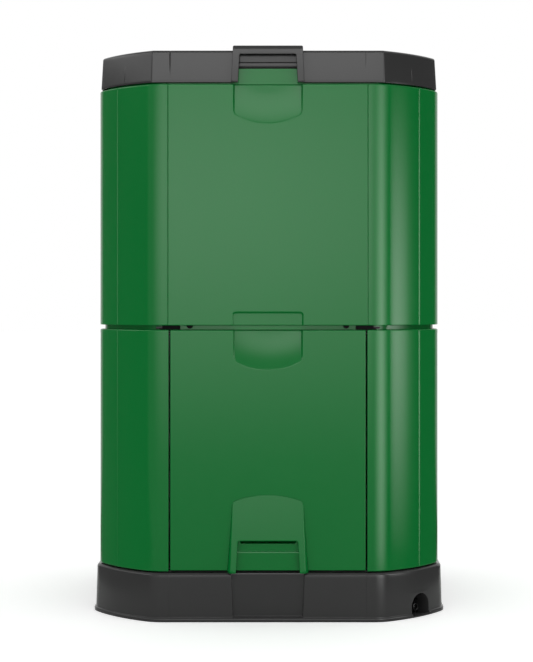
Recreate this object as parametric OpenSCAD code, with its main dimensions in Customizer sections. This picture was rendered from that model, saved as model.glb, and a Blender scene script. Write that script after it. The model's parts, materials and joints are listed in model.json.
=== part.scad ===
/* [Tiers] */
// Width and depth of the two insulated tiers
body_w = 726; // [680:1:780]
// Length that each 45 degree corner takes off a side
chamfer = 128.5; // [110:0.5:145]
// Blend radius between a flat side and its corner face
corner_r = 52; // [30:1:60]
// Height of one tier
tier_h = 499.5; // [460:0.5:560]
// Thickness of an insulated wall
wall_t = 45; // [40:1:55]
// Thickness of the moulded skins
skin_t = 3; // [2:0.5:4]
// Rounding of the top and bottom edges of a tier
edge_r = 4; // [2:0.5:6]
// Distance of a fixed panel's edge from the end of its flat side
panel_inset = 27.8; // [23:0.1:44]
// Radius of the fine bead on each corner face
bead_r = 1.4; // [0.8:0.1:2]
// Distance of the bead from the side of the bin
bead_in = 45; // [33:1:63]

/* [Base] */
// Height of the base up to its outer shoulder
base_h = 100; // [85:1:120]
// How far the flared foot stands out from the walls
foot_out = 12; // [9:0.5:37]
// How far the base stands out from the walls just above its foot
base_out = 8.5; // [5:0.5:32]
// Depth of the flat field on the front and back of the base
field_depth = 0.8; // [0.4:0.1:2]
// How far the shoulder of the base stands out from the walls
shoulder_out = 6; // [3:0.5:27]
// Height of the flared foot
foot_h = 8; // [5:0.5:15]
// Size of the bevel round the shoulder
shoulder_bevel = 4.5; // [2:0.5:6]
// How much more a corner takes off a side of the base than off a tier
base_corner_more = 8; // [0:0.5:16]
// Blend radius of the base corners
base_corner_r = 27; // [15:1:45]
// Wall thickness of the reservoir
tank_t = 4; // [3:0.5:6]
// Thickness of the reservoir floor
floor_t = 6; // [4:0.5:10]
// Height of the seat that lifts the walls off the shoulder
seat_h = 3; // [2:0.5:6]
// Thickness of the rim that carries the walls
seat_rim_t = 11; // [9:0.5:14]
// How far the seat lies inside the wall faces
seat_in = 14; // [11:0.5:18]
// Width of the ledge that carries the floor grate
ledge_w = 18; // [12:1:26]
// Radius of the posts under the floor grate
post_r = 14; // [8:1:20]
// Spacing of the posts
post_pitch = 220; // [180:1:260]
// Depth of the hollow in the base under each door handle
toe_depth = 6; // [3:0.5:8]

/* [Floor grate and air core] */
// Thickness of the floor grate
grate_t = 6; // [4:0.5:8]
// Height of the ribs under the grate
grate_rib_h = 4; // [2:0.5:4.5]
// Thickness of those ribs
grate_rib_t = 3; // [2:0.5:4]
// Width of a slot in the grate
slot_w = 7; // [5:0.5:9]
// Length of a slot in the grate
slot_l = 62; // [40:1:66]
// Distance from one grate slot to the next
slot_pitch = 19; // [17:0.5:24]
// Reach of each arm of the air core from the middle
core_reach = 120; // [100:1:140]
// Half thickness of an arm of the air core
core_half = 28; // [20:1:36]
// Wall thickness of the air core
core_t = 3; // [2:0.5:5]
// Height of an air slot
air_slot_h = 6; // [4:0.5:8]
// Distance from one air slot to the next
air_pitch = 27; // [22:0.5:36]
// Distance from the top of the air core to the top of the upper tier
core_drop = 30; // [20:1:60]
// Height of the foot plate under the air core
core_foot_t = 4; // [3:0.5:6]
// How far the foot plate stands out round the air core
core_foot_out = 8; // [5:0.5:14]
// Length of the spigots that hold the foot and the cap in the air core
core_spigot = 12; // [8:1:20]

/* [Tap] */
// Width of the tap niche
niche_w = 55.5; // [50:0.5:64]
// Height of the tap niche above its floor lip
niche_h = 45; // [42:0.5:56]
// Depth of the tap niche
niche_depth = 38; // [36:0.5:46]
// Height of the floor lip of the niche
niche_lip = 3; // [2:0.5:5]
// Offset of the niche from the middle of its corner
tap_shift = 17.3; // [0:0.1:20]
// Height of the tap axis
tap_z = 16; // [15:0.5:20]
// Radius of the tap barrel and its spigot
tap_r = 8.5; // [7:0.5:9.5]
// Radius of the bore in the spigot
tap_bore_r = 5.5; // [4:0.5:6]
// Radius of the threaded stem through the reservoir wall
tap_stem_r = 7; // [6.5:0.5:8]

/* [Seam between the tiers] */
// Height of the seam between the tiers
seam_h = 9; // [8:0.5:12]
// Depth of the shadow groove round the seam
seam_depth = 18; // [14:0.5:24]
// Radius of the half round lugs
lug_r = 6.3; // [5:0.1:6.5]
// Distance of each lug from the edge of the door
lug_in = 40; // [30:1:60]
// How far a seam clip reaches over the door
clip_in = 20; // [10:1:27]
// Length of a seam clip
clip_w = 50; // [40:1:56]
// Rounding of the corners of a seam clip
clip_r = 2; // [1:0.5:2.5]

/* [Lower doors] */
// Distance of a door's edge from the end of its flat side
door_inset = 32.5; // [29:0.5:49]
// Gap between a door and the walls beside it
door_gap = 3.5; // [2.5:0.5:5]
// Height of the bottom edge of a door over the base seat
door_lift = 2; // [1.5:0.5:5]
// Distance of the pivot from the outer face and from the top edge of a door
pivot_in = 8; // [7:0.5:10]
// Radius of the pivot pins
pivot_r = 3; // [2:0.5:3.5]
// Height of a door handle
handle_h = 160; // [130:1:180]
// Half width of a door handle at its top
handle_half = 72.5; // [60:0.5:80]
// How much wider a handle is at its foot, on each side
handle_flare = 5; // [0:0.5:8]
// How far the foot of a handle stands out
handle_proud = 12; // [8:0.5:12]
// How much wider a handle is where it meets the door, on each side of its foot
handle_flank = 4.5; // [1:0.5:7]
// Rounding of the shoulders of a handle
handle_r = 7; // [3:0.5:9]
// Rounding of the upper corners of the hand opening
opening_r = 4; // [2:0.5:8]
// Height of the rise in the arched top of a handle
handle_arch = 14; // [8:0.5:20]
// Height of the bar over the hand opening
handle_bar = 80; // [60:1:95]
// Depth of the finger pocket behind a handle
pocket_depth = 25; // [18:1:30]

/* [Scoops in the panels] */
// Half width of a scoop
scoop_half = 71.7; // [60:0.1:80]
// Height of a scoop
scoop_h = 83; // [70:1:100]
// Depth of a scoop at its top
scoop_depth = 12; // [8:0.5:14]
// Radius of the arc along the foot of a scoop
scoop_arc = 141; // [120:1:200]
// Rounding of the lower corners of a scoop
scoop_r = 8; // [4:0.5:14]
// Height of the recess at the foot of an upper panel
recess_h = 28; // [20:1:36]
// Depth of that recess
recess_depth = 4; // [2:0.5:6]

/* [Lid] */
// Gap between the upper tier and the skirt of the lid
lid_gap = 3; // [2:0.5:5]
// Height of the lid skirt
lid_h = 64; // [58:1:74]
// How far the foot of the lid skirt lies inside the wall faces
lid_in = 4.5; // [1:0.5:9]
// Draft of the skirt
lid_draft = 3.5; // [1:0.5:5]
// How much less a corner takes off a side of the lid than off a tier
lid_corner_less = 11; // [4:0.5:18]
// Blend radius of the lid corners
lid_corner_r = 9; // [4:1:25]
// Rounding of the top edge of the lid
lid_edge = 6; // [3:0.5:8]
// Rise of the crown of the lid
lid_crown = 6; // [2:0.5:10]
// Rise of the grip over the edge of the lid
grip_rise = 12; // [11:0.5:16]
// Half width of the grip at its top
grip_half = 72.3; // [66:0.1:80]
// How much wider the grip is at its foot, on each side
grip_flare = 3.4; // [0:0.1:6]
// Width of each leg of the grip
grip_leg = 13.9; // [12:0.1:18]
// Height of the bar of the grip
grip_bar = 18; // [16:0.5:24]
// How far the grip stands out from the lid
grip_proud = 10; // [8:0.5:12]
// How far the grip reaches in over the lid from its skirt
grip_root = 36; // [30:1:50]
// Rounding of the upper corners of the grip and of its opening
grip_r = 3; // [1.5:0.5:5]
// Height of the flange round the foot of the lid liner
liner_flange = 5; // [3:0.5:8]
// How far that flange stands out from the wall of the liner
liner_step = 3; // [1:0.5:5]
// Height of the inner rim that the lid seals on
rim_h = 33; // [28:0.5:38]
// Thickness of the inner rim
rim_t = 6; // [4:0.5:8]

/* [Lid hinge] */
// Distance of each hinge from the middle
hinge_x = 150; // [110:1:180]
// Radius of the hinge knuckles
knuckle_r = 5.2; // [4.5:0.1:5.6]
// Radius of the hinge pin
hinge_pin_r = 2.5; // [2:0.1:3]
// Width of one hinge
hinge_w = 60; // [45:1:75]
// Thickness of a hinge plate
plate_t = 3.5; // [2.5:0.5:5]
// Height of a hinge plate
plate_h = 32; // [26:1:40]
// Rounding of the corners of a hinge plate
plate_r = 5; // [2:0.5:8]
// Distance of the plate's top edge below the hinge pin
plate_drop = 18; // [12:1:24]

/* [Fits] */
// Gap round parts that only touch
fit = 0.2; // [0.1:0.05:0.3]
// Radial clearance of a pin in its hole
pin_fit = 0.08; // [0.04:0.01:0.1]
// Radius of the screws
screw_r = 2; // [1.5:0.1:2.5]
// Radius of the screw heads
head_r = 4; // [3:0.1:5]
// Thickness of the screw heads
head_t = 2.5; // [1.5:0.1:3]
// Length of screw thread in a handle
thread_l = 4; // [3:0.5:5]

/* [Hidden] */
$fn = 48;
least_r = 4;
body_half = body_w / 2;
flat_half = body_half - chamfer;
panel_half = flat_half - panel_inset;
door_half = flat_half - door_inset;
bead_x = body_half - bead_in;
foot_half = body_half + foot_out;
base_half = body_half + base_out;
shoulder_half = body_half + shoulder_out;
base_chamfer = chamfer + base_corner_more;
lid_half = body_half - lid_in;
lid_chamfer = chamfer - lid_corner_less;
lug_x = door_half - lug_in;
clip_x0 = door_half - clip_in;
clip_x1 = clip_x0 + clip_w;
tier1_z = base_h + seat_h;
tier1_top = tier1_z + tier_h;
tier2_z = tier1_top + seam_h;
tier2_top = tier2_z + tier_h;
lid_z = tier2_top + lid_gap;
lid_top = lid_z + lid_h;
rim_top = tier2_top + rim_h;
door_z = tier1_z + door_lift;
door_top = tier1_top - 0.5;
wall_split = door_half + door_gap;
pivot_y = body_half - pivot_in;
pivot_z = door_top - pivot_in;
handle_z = base_h + 0.6;
handle_edge = 0.8;
bar_z = handle_z + handle_h - handle_bar - handle_arch;
pocket_z = bar_z - 20;
pocket_h = 85;
pocket_half = handle_half - 14;
hinge_y = body_half + knuckle_r + 0.3;
hinge_z = tier2_top + 1;
tank_half = min(base_half, shoulder_half) - toe_depth - tank_t;
deck_z = base_h + seat_h - seat_rim_t;
grate_z = base_h + seat_h - grate_t;
grate_half = body_half - wall_t - 4;
core_z = tier1_z + core_foot_t;
core_top = tier2_top - core_drop;
core_mid = (core_z + core_top) / 2;
tap_face = (2 * base_half - base_chamfer) / sqrt(2);
barrel_end = -6;
stem_end = -niche_depth - tank_t - 10;
flange_t = 3;
washer_t = 1.6;
lever_x = -20;
lever_r = 3;
nut_l = 6;
nut_r = tap_stem_r + 3.6;
green = "#126a30";
grey = "#4a4a4a";
dark = "#1c1c1c";
foam_colour = "#e8e4d8";
steel = "#b8bcc0";

// Outlines: a square with chamfered, blended corners, given as points
function turn(p, a) = [p[0] * cos(a) - p[1] * sin(a), p[0] * sin(a) + p[1] * cos(a)];
function octagon(h, c, r, n = 5) = [
  for (k = [0:3])
    for (s = [0, 1])
      for (j = [0:n])
        let (
          centre = turn([h - r, (1 - 2 * s) * (h - c - (sqrt(2) - 1) * r)], 90 * (k + s)),
          a = 90 * k + 45 * (s + j / n)
        )
        centre + r * [cos(a), sin(a)]
];
function inward(h, c, r, d) = octagon(h - d, c - (2 - sqrt(2)) * d, max(r - d, least_r));
function tier_ring(d) = inward(body_half, chamfer, corner_r, d);
function base_ring(h) = inward(base_half, base_chamfer, base_corner_r, base_half - h);
function lid_ring(h) = inward(lid_half, lid_chamfer, lid_corner_r, lid_half - h);

// An outline with each corner rounded by its own radius, 0 for a sharp one
function unit(v) = v / norm(v);
function rounded(p, r, n = 5) = [
  for (i = [0:len(p) - 1])
    let (
      m = len(p),
      u = unit(p[(i + m - 1) % m] - p[i]),
      v = unit(p[(i + 1) % m] - p[i]),
      half = acos(u * v) / 2,
      centre = p[i] + unit(u + v) * r[i] / sin(half),
      a = p[i] + u * r[i] / tan(half) - centre,
      b = p[i] + v * r[i] / tan(half) - centre,
      w = 180 - 2 * half
    )
    if (r[i] == 0) p[i]
    else for (j = [0:n]) centre + (sin((1 - j / n) * w) * a + sin(j / n * w) * b) / sin(w)
];

// A closed solid through rings of points in space
module skin(rings) {
  m = len(rings[0]);
  n = len(rings);
  polyhedron(
    points = [for (g = rings) each g],
    faces = concat(
      [[for (i = [0:m - 1]) i]],
      [
        for (k = [0:n - 2])
          for (i = [0:m - 1])
            [k * m + i, (k + 1) * m + i, (k + 1) * m + (i + 1) % m, k * m + (i + 1) % m]
      ],
      [[for (i = [m - 1:-1:0]) (n - 1) * m + i]]
    )
  );
}

// A closed solid through level rings, each given as [height, points]
module loft(rings) {
  skin([for (g = rings) [for (p = g[1]) [p[0], p[1], g[0]]]]);
}

module prism(points, z0, z1) {
  translate([0, 0, z0]) linear_extrude(z1 - z0) polygon(points);
}

module ring_prism(outer, inner, z0, z1) {
  translate([0, 0, z0]) linear_extrude(z1 - z0) difference() {
    polygon(outer);
    polygon(inner);
  }
}

// Draws a profile of depth and height, and stretches it along X about the middle
module along_x(half) {
  rotate([90, 0, 90]) translate([0, 0, -half]) linear_extrude(2 * half) children();
}

// Draws a front outline of width and height, from y0 inward to y1
module along_y(y0, y1) {
  translate([0, y1, 0]) rotate([90, 0, 0]) linear_extrude(y1 - y0) children();
}

module pin_x(r, x0, x1, y, z) {
  translate([x0, y, z]) rotate([0, 90, 0]) cylinder(r = r, h = x1 - x0);
}

module pin_y(r, x, y0, y1, z) {
  translate([x, y0, z]) rotate([-90, 0, 0]) cylinder(r = r, h = y1 - y0);
}

module at_back() {
  rotate([0, 0, 180]) children();
}

module mirrored_x() {
  for (s = [-1, 1]) scale([s, 1, 1]) children();
}

module tier_solid(z0) {
  e = edge_r;
  loft(concat(
    [for (a = [0, 30, 60, 90]) [z0 + e * (1 - cos(a)), tier_ring(e * (1 - sin(a)))]],
    [for (a = [90, 60, 30, 0]) [z0 + tier_h - e * (1 - cos(a)), tier_ring(e * (1 - sin(a)))]]
  ));
}

// Keeps the part of a ring on one side of the bin, beyond a plane x = split
module side_zone(side, split, z0) {
  w = body_half + 20;
  translate([side < 0 ? -w : split, -w, z0 - 10]) cube([w - split, 2 * w, tier_h + 20]);
}

// Corner walls: each wraps two corners and one side of a tier
module wall_beads(side, z0) {
  ym = 2 * body_half - chamfer - bead_x;
  for (f = [-1, 1])
    translate([side * bead_x, f * ym, z0 + edge_r + 1]) cylinder(r = bead_r, h = tier_h - 2 * edge_r - 2);
}

module wall_shell(side, split, z0) {
  color(green) difference() {
    union() {
      intersection() {
        tier_solid(z0);
        side_zone(side, split, z0);
      }
      wall_beads(side, z0);
    }
    prism(tier_ring(wall_t - skin_t), z0 - 1, z0 + tier_h + 1);
    intersection() {
      prism(tier_ring(skin_t), z0 + skin_t, z0 + tier_h - skin_t);
      side_zone(side, split + skin_t, z0);
    }
    if (z0 == tier1_z) pivot_holes(pivot_r + pin_fit, wall_split - 1, wall_split + skin_t + 1);
  }
}

module wall_foam(side, split, z0) {
  d = skin_t + fit;
  color(foam_colour) difference() {
    intersection() {
      ring_prism(tier_ring(d), tier_ring(wall_t - d), z0 + d, z0 + tier_h - d);
      side_zone(side, split + d, z0);
    }
    if (z0 == tier1_z) pivot_holes(pivot_r + 2, wall_split, wall_split + 20);
  }
}

module wall_liner(side, split, z0) {
  color(green) intersection() {
    ring_prism(tier_ring(wall_t - skin_t), tier_ring(wall_t), z0, z0 + tier_h);
    side_zone(side, split, z0);
  }
}

module pivot_holes(r, x0, x1) {
  for (s = [-1, 1])
    for (f = [-1, 1])
      pin_x(r, s < 0 ? -x1 : x0, s < 0 ? -x0 : x1, f * pivot_y, pivot_z);
}

// Panels and doors: a flat slab whose outer edges are rounded
module corner_cut(r) {
  difference() {
    translate([-1, -1]) square(r + 1);
    translate([r, r]) circle(r);
  }
}

module slab(half, z0, z1) {
  along_x(half) difference() {
    translate([-body_half, z0]) square([wall_t - skin_t, z1 - z0]);
    translate([-body_half, z0]) corner_cut(edge_r);
    translate([-body_half, z1]) mirror([0, 1]) corner_cut(edge_r);
  }
}

module slab_space(half, z0, z1, d) {
  translate([-half + d, -body_half + d, z0 + d])
    cube([2 * (half - d), wall_t - skin_t - d + (d > skin_t ? -fit : 1), z1 - z0 - 2 * d]);
}

module slab_liner(half, z0, z1) {
  translate([-half, -body_half + wall_t - skin_t, z0]) cube([2 * half, skin_t, z1 - z0]);
}

// Outline of a scoop: upright sides, an arc below and round corners where they meet
function scoop_outline(top, grow, n = 24) =
  let (
    x = scoop_half - scoop_r,
    z = sqrt((scoop_arc - scoop_r) * (scoop_arc - scoop_r) - x * x),
    centre = top - scoop_h + scoop_arc,
    lean = atan2(x, z),
    side = [for (i = [0:5]) let (a = (90 - lean) * i / 5) [-x, -z] - (scoop_r + grow) * [cos(a), sin(a)]],
    arc = [for (i = [1:n - 1]) let (a = lean * (2 * i / n - 1)) (scoop_arc + grow) * [sin(a), -cos(a)]]
  )
  [
    for (p = concat(side, arc, [for (i = [5:-1:0]) [-side[i][0], side[i][1]]]))
      [p[0], centre + p[1]],
    [scoop_half + grow, top + 5],
    [-scoop_half - grow, top + 5]
  ];

// A hand scoop that runs out of the top edge: its outline over a hollow ramp
module scoop(top, grow) {
  ramp_r = (scoop_depth * scoop_depth + scoop_h * scoop_h) / (2 * scoop_depth);
  intersection() {
    along_y(-body_half - 5, -body_half + 40) polygon(scoop_outline(top, grow));
    translate([0, -body_half + scoop_depth - ramp_r, top])
      rotate([0, 90, 0]) cylinder(r = ramp_r + grow, h = 400, center = true, $fn = 128);
  }
}

module foot_recess(grow) {
  r = 7;
  along_y(-body_half - 5, -body_half + recess_depth + grow) {
    translate([-scoop_half - 1.8 - grow, tier2_z - 5]) square([2 * (scoop_half + 1.8 + grow), recess_h + 5 - r]);
    translate([-scoop_half - 1.8 + r, tier2_z - 5]) square([2 * (scoop_half + 1.8 - r), recess_h + 5 + grow]);
    for (s = [-1, 1]) translate([s * (scoop_half + 1.8 - r), tier2_z + recess_h - r]) circle(r + grow);
  }
}

module panel_shell() {
  color(green) difference() {
    slab(panel_half, tier2_z, tier2_top);
    scoop(tier2_top, 0);
    foot_recess(0);
    difference() {
      slab_space(panel_half, tier2_z, tier2_top, skin_t);
      scoop(tier2_top, skin_t);
      foot_recess(skin_t);
    }
  }
}

module panel_foam() {
  color(foam_colour) difference() {
    slab_space(panel_half, tier2_z, tier2_top, skin_t + fit);
    scoop(tier2_top, skin_t + fit);
    foot_recess(skin_t + fit);
  }
}

module panel_liner() {
  color(green) slab_liner(panel_half, tier2_z, tier2_top);
}

// Lower doors
module finger_pocket(grow) {
  r = 8;
  along_y(-body_half - 5, -body_half + pocket_depth + grow) {
    translate([-pocket_half - grow, pocket_z + r]) square([2 * (pocket_half + grow), pocket_h - 2 * r]);
    translate([-pocket_half + r, pocket_z - grow]) square([2 * (pocket_half - r), pocket_h + 2 * grow]);
    for (s = [-1, 1])
      for (z = [pocket_z + r, pocket_z + pocket_h - r])
        translate([s * (pocket_half - r), z]) circle(r + grow);
  }
}

module door_screw_places() {
  for (s = [-1, 1]) {
    translate([s * (handle_half - 2), 0, handle_z + 0.15 * handle_h]) children();
    translate([s * (handle_half - 4.5), 0, handle_z + 0.525 * handle_h]) children();
  }
}

module door_shell() {
  color(green) difference() {
    slab(door_half, door_z, door_top);
    scoop(door_top, 0);
    finger_pocket(0);
    difference() {
      slab_space(door_half, door_z, door_top, skin_t);
      scoop(door_top, skin_t);
      finger_pocket(skin_t);
      pivot_holes(pivot_r + 3, door_half - 10, door_half + 1);
    }
    pivot_holes(pivot_r + pin_fit, door_half - 11, door_half + 1);
    door_screw_places() pin_y(screw_r + pin_fit, 0, -body_half - 1, -body_half + skin_t + 1, 0);
  }
}

module door_foam() {
  color(foam_colour) difference() {
    slab_space(door_half, door_z, door_top, skin_t + fit);
    scoop(door_top, skin_t + fit);
    finger_pocket(skin_t + fit);
    pivot_holes(pivot_r + 3.4, door_half - 11, door_half + 1);
    door_screw_places() pin_y(head_r + 0.5, 0, -body_half, -body_half + skin_t + head_t + 0.5, 0);
  }
}

module door_liner() {
  color(green) slab_liner(door_half, door_z, door_top);
}

// Outline of a handle, as points of width and height: leaning sides and an arched top with round shoulders
function handle_outline(n = 16) =
  let (
    arc_r = (handle_half * handle_half + handle_arch * handle_arch) / (2 * handle_arch),
    arch_z = handle_z + handle_h - arc_r,
    arch = [for (i = [n:-1:0]) let (x = handle_half * (2 * i / n - 1)) [x, arch_z + sqrt(arc_r * arc_r - x * x)]],
    foot = handle_half + handle_flare
  )
  rounded(
    concat([[-foot, handle_z], [foot, handle_z]], arch),
    concat([0, 0, handle_r], [for (i = [1:n - 1]) 0], [handle_r])
  );

// How far a handle stands out at a height
function stand(z) = handle_edge + (handle_proud - handle_edge) * (handle_z + handle_h - z) / handle_h;

// The handle's outline at a share of its stand, spread by a share of the flank that narrows towards the top
function handle_ring(share, spread) = [
  for (p = handle_outline())
    let (out = handle_flank * spread * stand(p[1]) / handle_proud)
    [p[0] * (1 + out / handle_half), -body_half - share * stand(p[1]), p[1]]
];

module hand_opening() {
  along_y(-body_half - 2 * handle_proud, -body_half + 1) polygon(rounded(
    [
      [-handle_half + 6.5, handle_z - 1], [handle_half - 6.5, handle_z - 1],
      [handle_half - 10.5, bar_z], [-handle_half + 10.5, bar_z]
    ],
    [0, 0, opening_r, opening_r]
  ));
}

module door_handle() {
  color(green) difference() {
    skin([handle_ring(0, 1), handle_ring(0.6, 0.45), handle_ring(0.92, 0.1), handle_ring(1, -0.15)]);
    hand_opening();
    door_screw_places() pin_y(screw_r + pin_fit, 0, -body_half - thread_l - 0.5, -body_half + 1, 0);
  }
}

module door_screws() {
  color(steel) door_screw_places() {
    pin_y(screw_r, 0, -body_half - thread_l, -body_half + skin_t + 1, 0);
    pin_y(head_r, 0, -body_half + skin_t + 0.05, -body_half + skin_t + head_t, 0);
  }
}

module door_pins() {
  color(dark) pivot_holes(pivot_r, door_half - 10.5, wall_split + skin_t + 8);
}

// Base with reservoir
module base_solid() {
  loft([
    [0, base_ring(foot_half - 1.5)],
    [1.5, base_ring(foot_half)],
    [foot_h - 1.5, base_ring(foot_half)],
    [foot_h + 1, base_ring(base_half)],
    [base_h - shoulder_bevel, base_ring(shoulder_half)],
    [base_h - 0.3 * shoulder_bevel, base_ring(shoulder_half - 0.3 * shoulder_bevel)],
    [base_h, base_ring(shoulder_half - shoulder_bevel)]
  ]);
}

module at_tap() {
  rotate([0, 0, -45]) translate([tap_face, tap_shift, 0]) children();
}

module niche(grow) {
  r = niche_w / 2 + grow;
  at_tap() rotate([90, 0, 90]) translate([0, 0, -niche_depth - grow]) linear_extrude(niche_depth + 20 + grow)
    intersection() {
      union() {
        translate([0, niche_lip + niche_h - niche_w / 2]) circle(r);
        translate([-r, niche_lip - grow]) square([2 * r, niche_h - niche_w / 2 + grow]);
      }
      translate([-r, niche_lip - grow]) square([2 * r, niche_h + 2 * grow]);
    }
}

module toe_hollow() {
  along_y(-foot_half - 5, -shoulder_half + toe_depth) polygon([
    [-handle_half + 4, foot_h + 2], [handle_half - 4, foot_h + 2],
    [handle_half + 5, base_h + 1], [-handle_half - 5, base_h + 1]
  ]);
}

// The flat field between the lines of the doors, parallel to the leaning skirt
module base_field() {
  d = field_depth;
  along_x(door_half + 2) polygon([
    [-foot_half - 5, foot_h + 1.5], [-base_half + d, foot_h + 1.5],
    [-shoulder_half + d, base_h - shoulder_bevel], [-shoulder_half + shoulder_bevel + d, base_h],
    [-shoulder_half + shoulder_bevel + d, base_h + 1], [-foot_half - 5, base_h + 1]
  ]);
}

module posts(top, grow = 0) {
  for (x = [-0.5, 0.5])
    for (y = [-0.5, 0.5])
      translate([x * post_pitch, y * post_pitch, 0]) cylinder(r = post_r + grow, h = top);
}

module base_reservoir() {
  inner = grate_half - ledge_w;
  color(grey) difference() {
    union() {
      difference() {
        base_solid();
        toe_hollow();
        at_back() toe_hollow();
        base_field();
        at_back() base_field();
      }
      prism(tier_ring(seat_in), base_h - 1, base_h + seat_h);
    }
    niche(0);
    difference() {
      prism(base_ring(tank_half), floor_t, deck_z);
      niche(tank_t);
      posts(base_h);
    }
    difference() {
      prism(tier_ring(body_half - inner), deck_z - 1, base_h + seat_h + 1);
      posts(grate_z);
    }
    prism(tier_ring(body_half - grate_half - 0.5), grate_z, base_h + seat_h + 1);
    at_tap() tap_tube(tap_stem_r + pin_fit, -niche_depth - tank_t - 1, -niche_depth + 1);
    at_tap() translate([-niche_depth - tank_t - 2 * nut_l, -nut_r - 1, floor_t])
      cube([2 * nut_l, 2 * nut_r + 2, tap_z + nut_r + 1 - floor_t]);
  }
}

module floor_grate() {
  rows = floor(2 * (grate_half - 20) / slot_pitch);
  pitch_x = slot_l + 12;
  cols = floor((grate_half - 20) / pitch_x);
  reach = 2 * grate_half - (chamfer - (2 - sqrt(2)) * wall_t) - 30;
  color(dark) {
    translate([0, 0, grate_z]) linear_extrude(grate_t) difference() {
      polygon(tier_ring(body_half - grate_half));
      for (i = [0:rows])
        for (k = [-cols:cols])
          let (y = (i - rows / 2) * slot_pitch, x = k * pitch_x)
          if (abs(x) + slot_l / 2 + abs(y) < reach && abs(x) + slot_l / 2 < grate_half - 12)
            translate([x - slot_l / 2, y - slot_w / 2]) square([slot_l, slot_w]);
    }
    difference() {
      translate([0, 0, grate_z - grate_rib_h]) linear_extrude(grate_rib_h) intersection() {
        polygon(tier_ring(body_half - grate_half + ledge_w + 1));
        for (k = [-cols:cols - 1])
          translate([(k + 0.5) * pitch_x - grate_rib_t / 2, -grate_half]) square([grate_rib_t, 2 * grate_half]);
      }
      posts(base_h, fit);
    }
  }
}

// Tap
module tap_tube(r, x0, x1) {
  translate([x0, 0, tap_z]) rotate([0, 90, 0]) cylinder(r = r, h = x1 - x0);
}

module tap_body() {
  face = -niche_depth + washer_t;
  color(dark) at_tap() difference() {
    union() {
      tap_tube(tap_stem_r, stem_end, face + 1);
      tap_tube(tap_r + 2.5, face, face + flange_t);
      tap_tube(tap_r, face + 1, barrel_end);
      translate([lever_x, 0, tap_z]) cylinder(r = lever_r + 2, h = tap_r + 2);
    }
    tap_tube(tap_bore_r, barrel_end - 9, barrel_end + 1);
    tap_tube(tap_bore_r - 1, stem_end - 1, lever_x - 6);
    translate([lever_x, 0, tap_z]) cylinder(r = lever_r + pin_fit, h = 40);
  }
}

module tap_nut() {
  x1 = -niche_depth - tank_t;
  color(dark) at_tap() difference() {
    translate([x1 - nut_l, 0, tap_z]) rotate([30, 0, 0]) rotate([0, 90, 0]) cylinder(r = nut_r, h = nut_l, $fn = 6);
    tap_tube(tap_stem_r + pin_fit, x1 - nut_l - 1, x1 + 1);
  }
}

module tap_seal() {
  color(dark) at_tap() difference() {
    tap_tube(tap_r + 2.5, -niche_depth, -niche_depth + washer_t);
    tap_tube(tap_stem_r + pin_fit, -niche_depth - 1, -niche_depth + washer_t + 1);
  }
}

module tap_lever() {
  z = tap_z + tap_r + 2.3;
  color(dark) at_tap() translate([lever_x, 0, 0]) {
    translate([0, 0, tap_z + 0.3]) cylinder(r = lever_r, h = z - tap_z);
    translate([0, 0, z]) cylinder(r = lever_r + 2.5, h = 4);
    translate([0, 0, z]) linear_extrude(4) polygon([[-4, 0], [4, 0], [2.5, 17], [-2.5, 17]]);
    translate([0, 17, z]) cylinder(r = 2.5, h = 4);
  }
}

// Air core: a hollow cross with slotted arms
module cross(reach, half) {
  square([2 * reach, 2 * half], center = true);
  square([2 * half, 2 * reach], center = true);
}

module air_slots(z0, z1) {
  n = floor((z1 - z0 - 30) / air_pitch);
  start = (z0 + z1 - n * air_pitch) / 2;
  for (a = [0, 90])
    rotate([0, 0, a]) along_y(-core_half - 1, core_half + 1)
      for (s = [-1, 1])
        for (i = [0:n])
          translate([s * (core_half + core_reach) / 2, start + i * air_pitch])
            square([core_reach - core_half - 18, air_slot_h], center = true);
}

module core_section(z0, z1) {
  color(dark) difference() {
    translate([0, 0, z0]) linear_extrude(z1 - z0) difference() {
      cross(core_reach, core_half);
      cross(core_reach - core_t, core_half - core_t);
    }
    air_slots(z0, z1);
  }
}

module core_plug_hole() {
  cross(core_reach - 2 * core_t - fit, core_half - 2 * core_t - fit);
}

module core_plug() {
  difference() {
    cross(core_reach - core_t - fit, core_half - core_t - fit);
    core_plug_hole();
  }
}

module core_foot() {
  color(dark) translate([0, 0, tier1_z]) linear_extrude(core_z - tier1_z) difference() {
    cross(core_reach + core_foot_out, core_half + core_foot_out);
    core_plug_hole();
  }
  color(dark) translate([0, 0, core_z - 0.5]) linear_extrude(core_spigot) core_plug();
}

module core_lower() {
  core_section(core_z, core_mid - fit);
}

module core_upper() {
  core_section(core_mid, core_top);
}

module core_cap() {
  color(dark) translate([0, 0, core_top]) linear_extrude(core_t + 1)
    cross(core_reach + 0.7 * core_t, core_half + 0.7 * core_t);
  color(dark) translate([0, 0, core_top - core_spigot]) linear_extrude(core_spigot + 0.5) core_plug();
}

// Seam
module mid_band() {
  color(green) ring_prism(tier_ring(seam_depth), tier_ring(wall_t), tier1_top, tier2_z);
}

module seam_clips() {
  z0 = tier1_top + 2.2;
  color(dark) for (a = [0, 180])
    rotate([0, 0, a]) for (s = [-1, 1]) {
      along_y(-body_half + 5, -body_half + seam_depth - fit) scale([s, 1]) polygon(rounded(
        [[clip_x0, z0], [clip_x1, z0], [clip_x1, tier2_z - fit], [clip_x0, tier2_z - fit]],
        [clip_r, clip_r, clip_r, clip_r]
      ));
      translate([s > 0 ? wall_split + 1 : -clip_x1 + 8, -body_half + 6, tier1_top])
        cube([clip_x1 - 8 - wall_split - 1, seam_depth - 6 - fit, 3]);
    }
}

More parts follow.
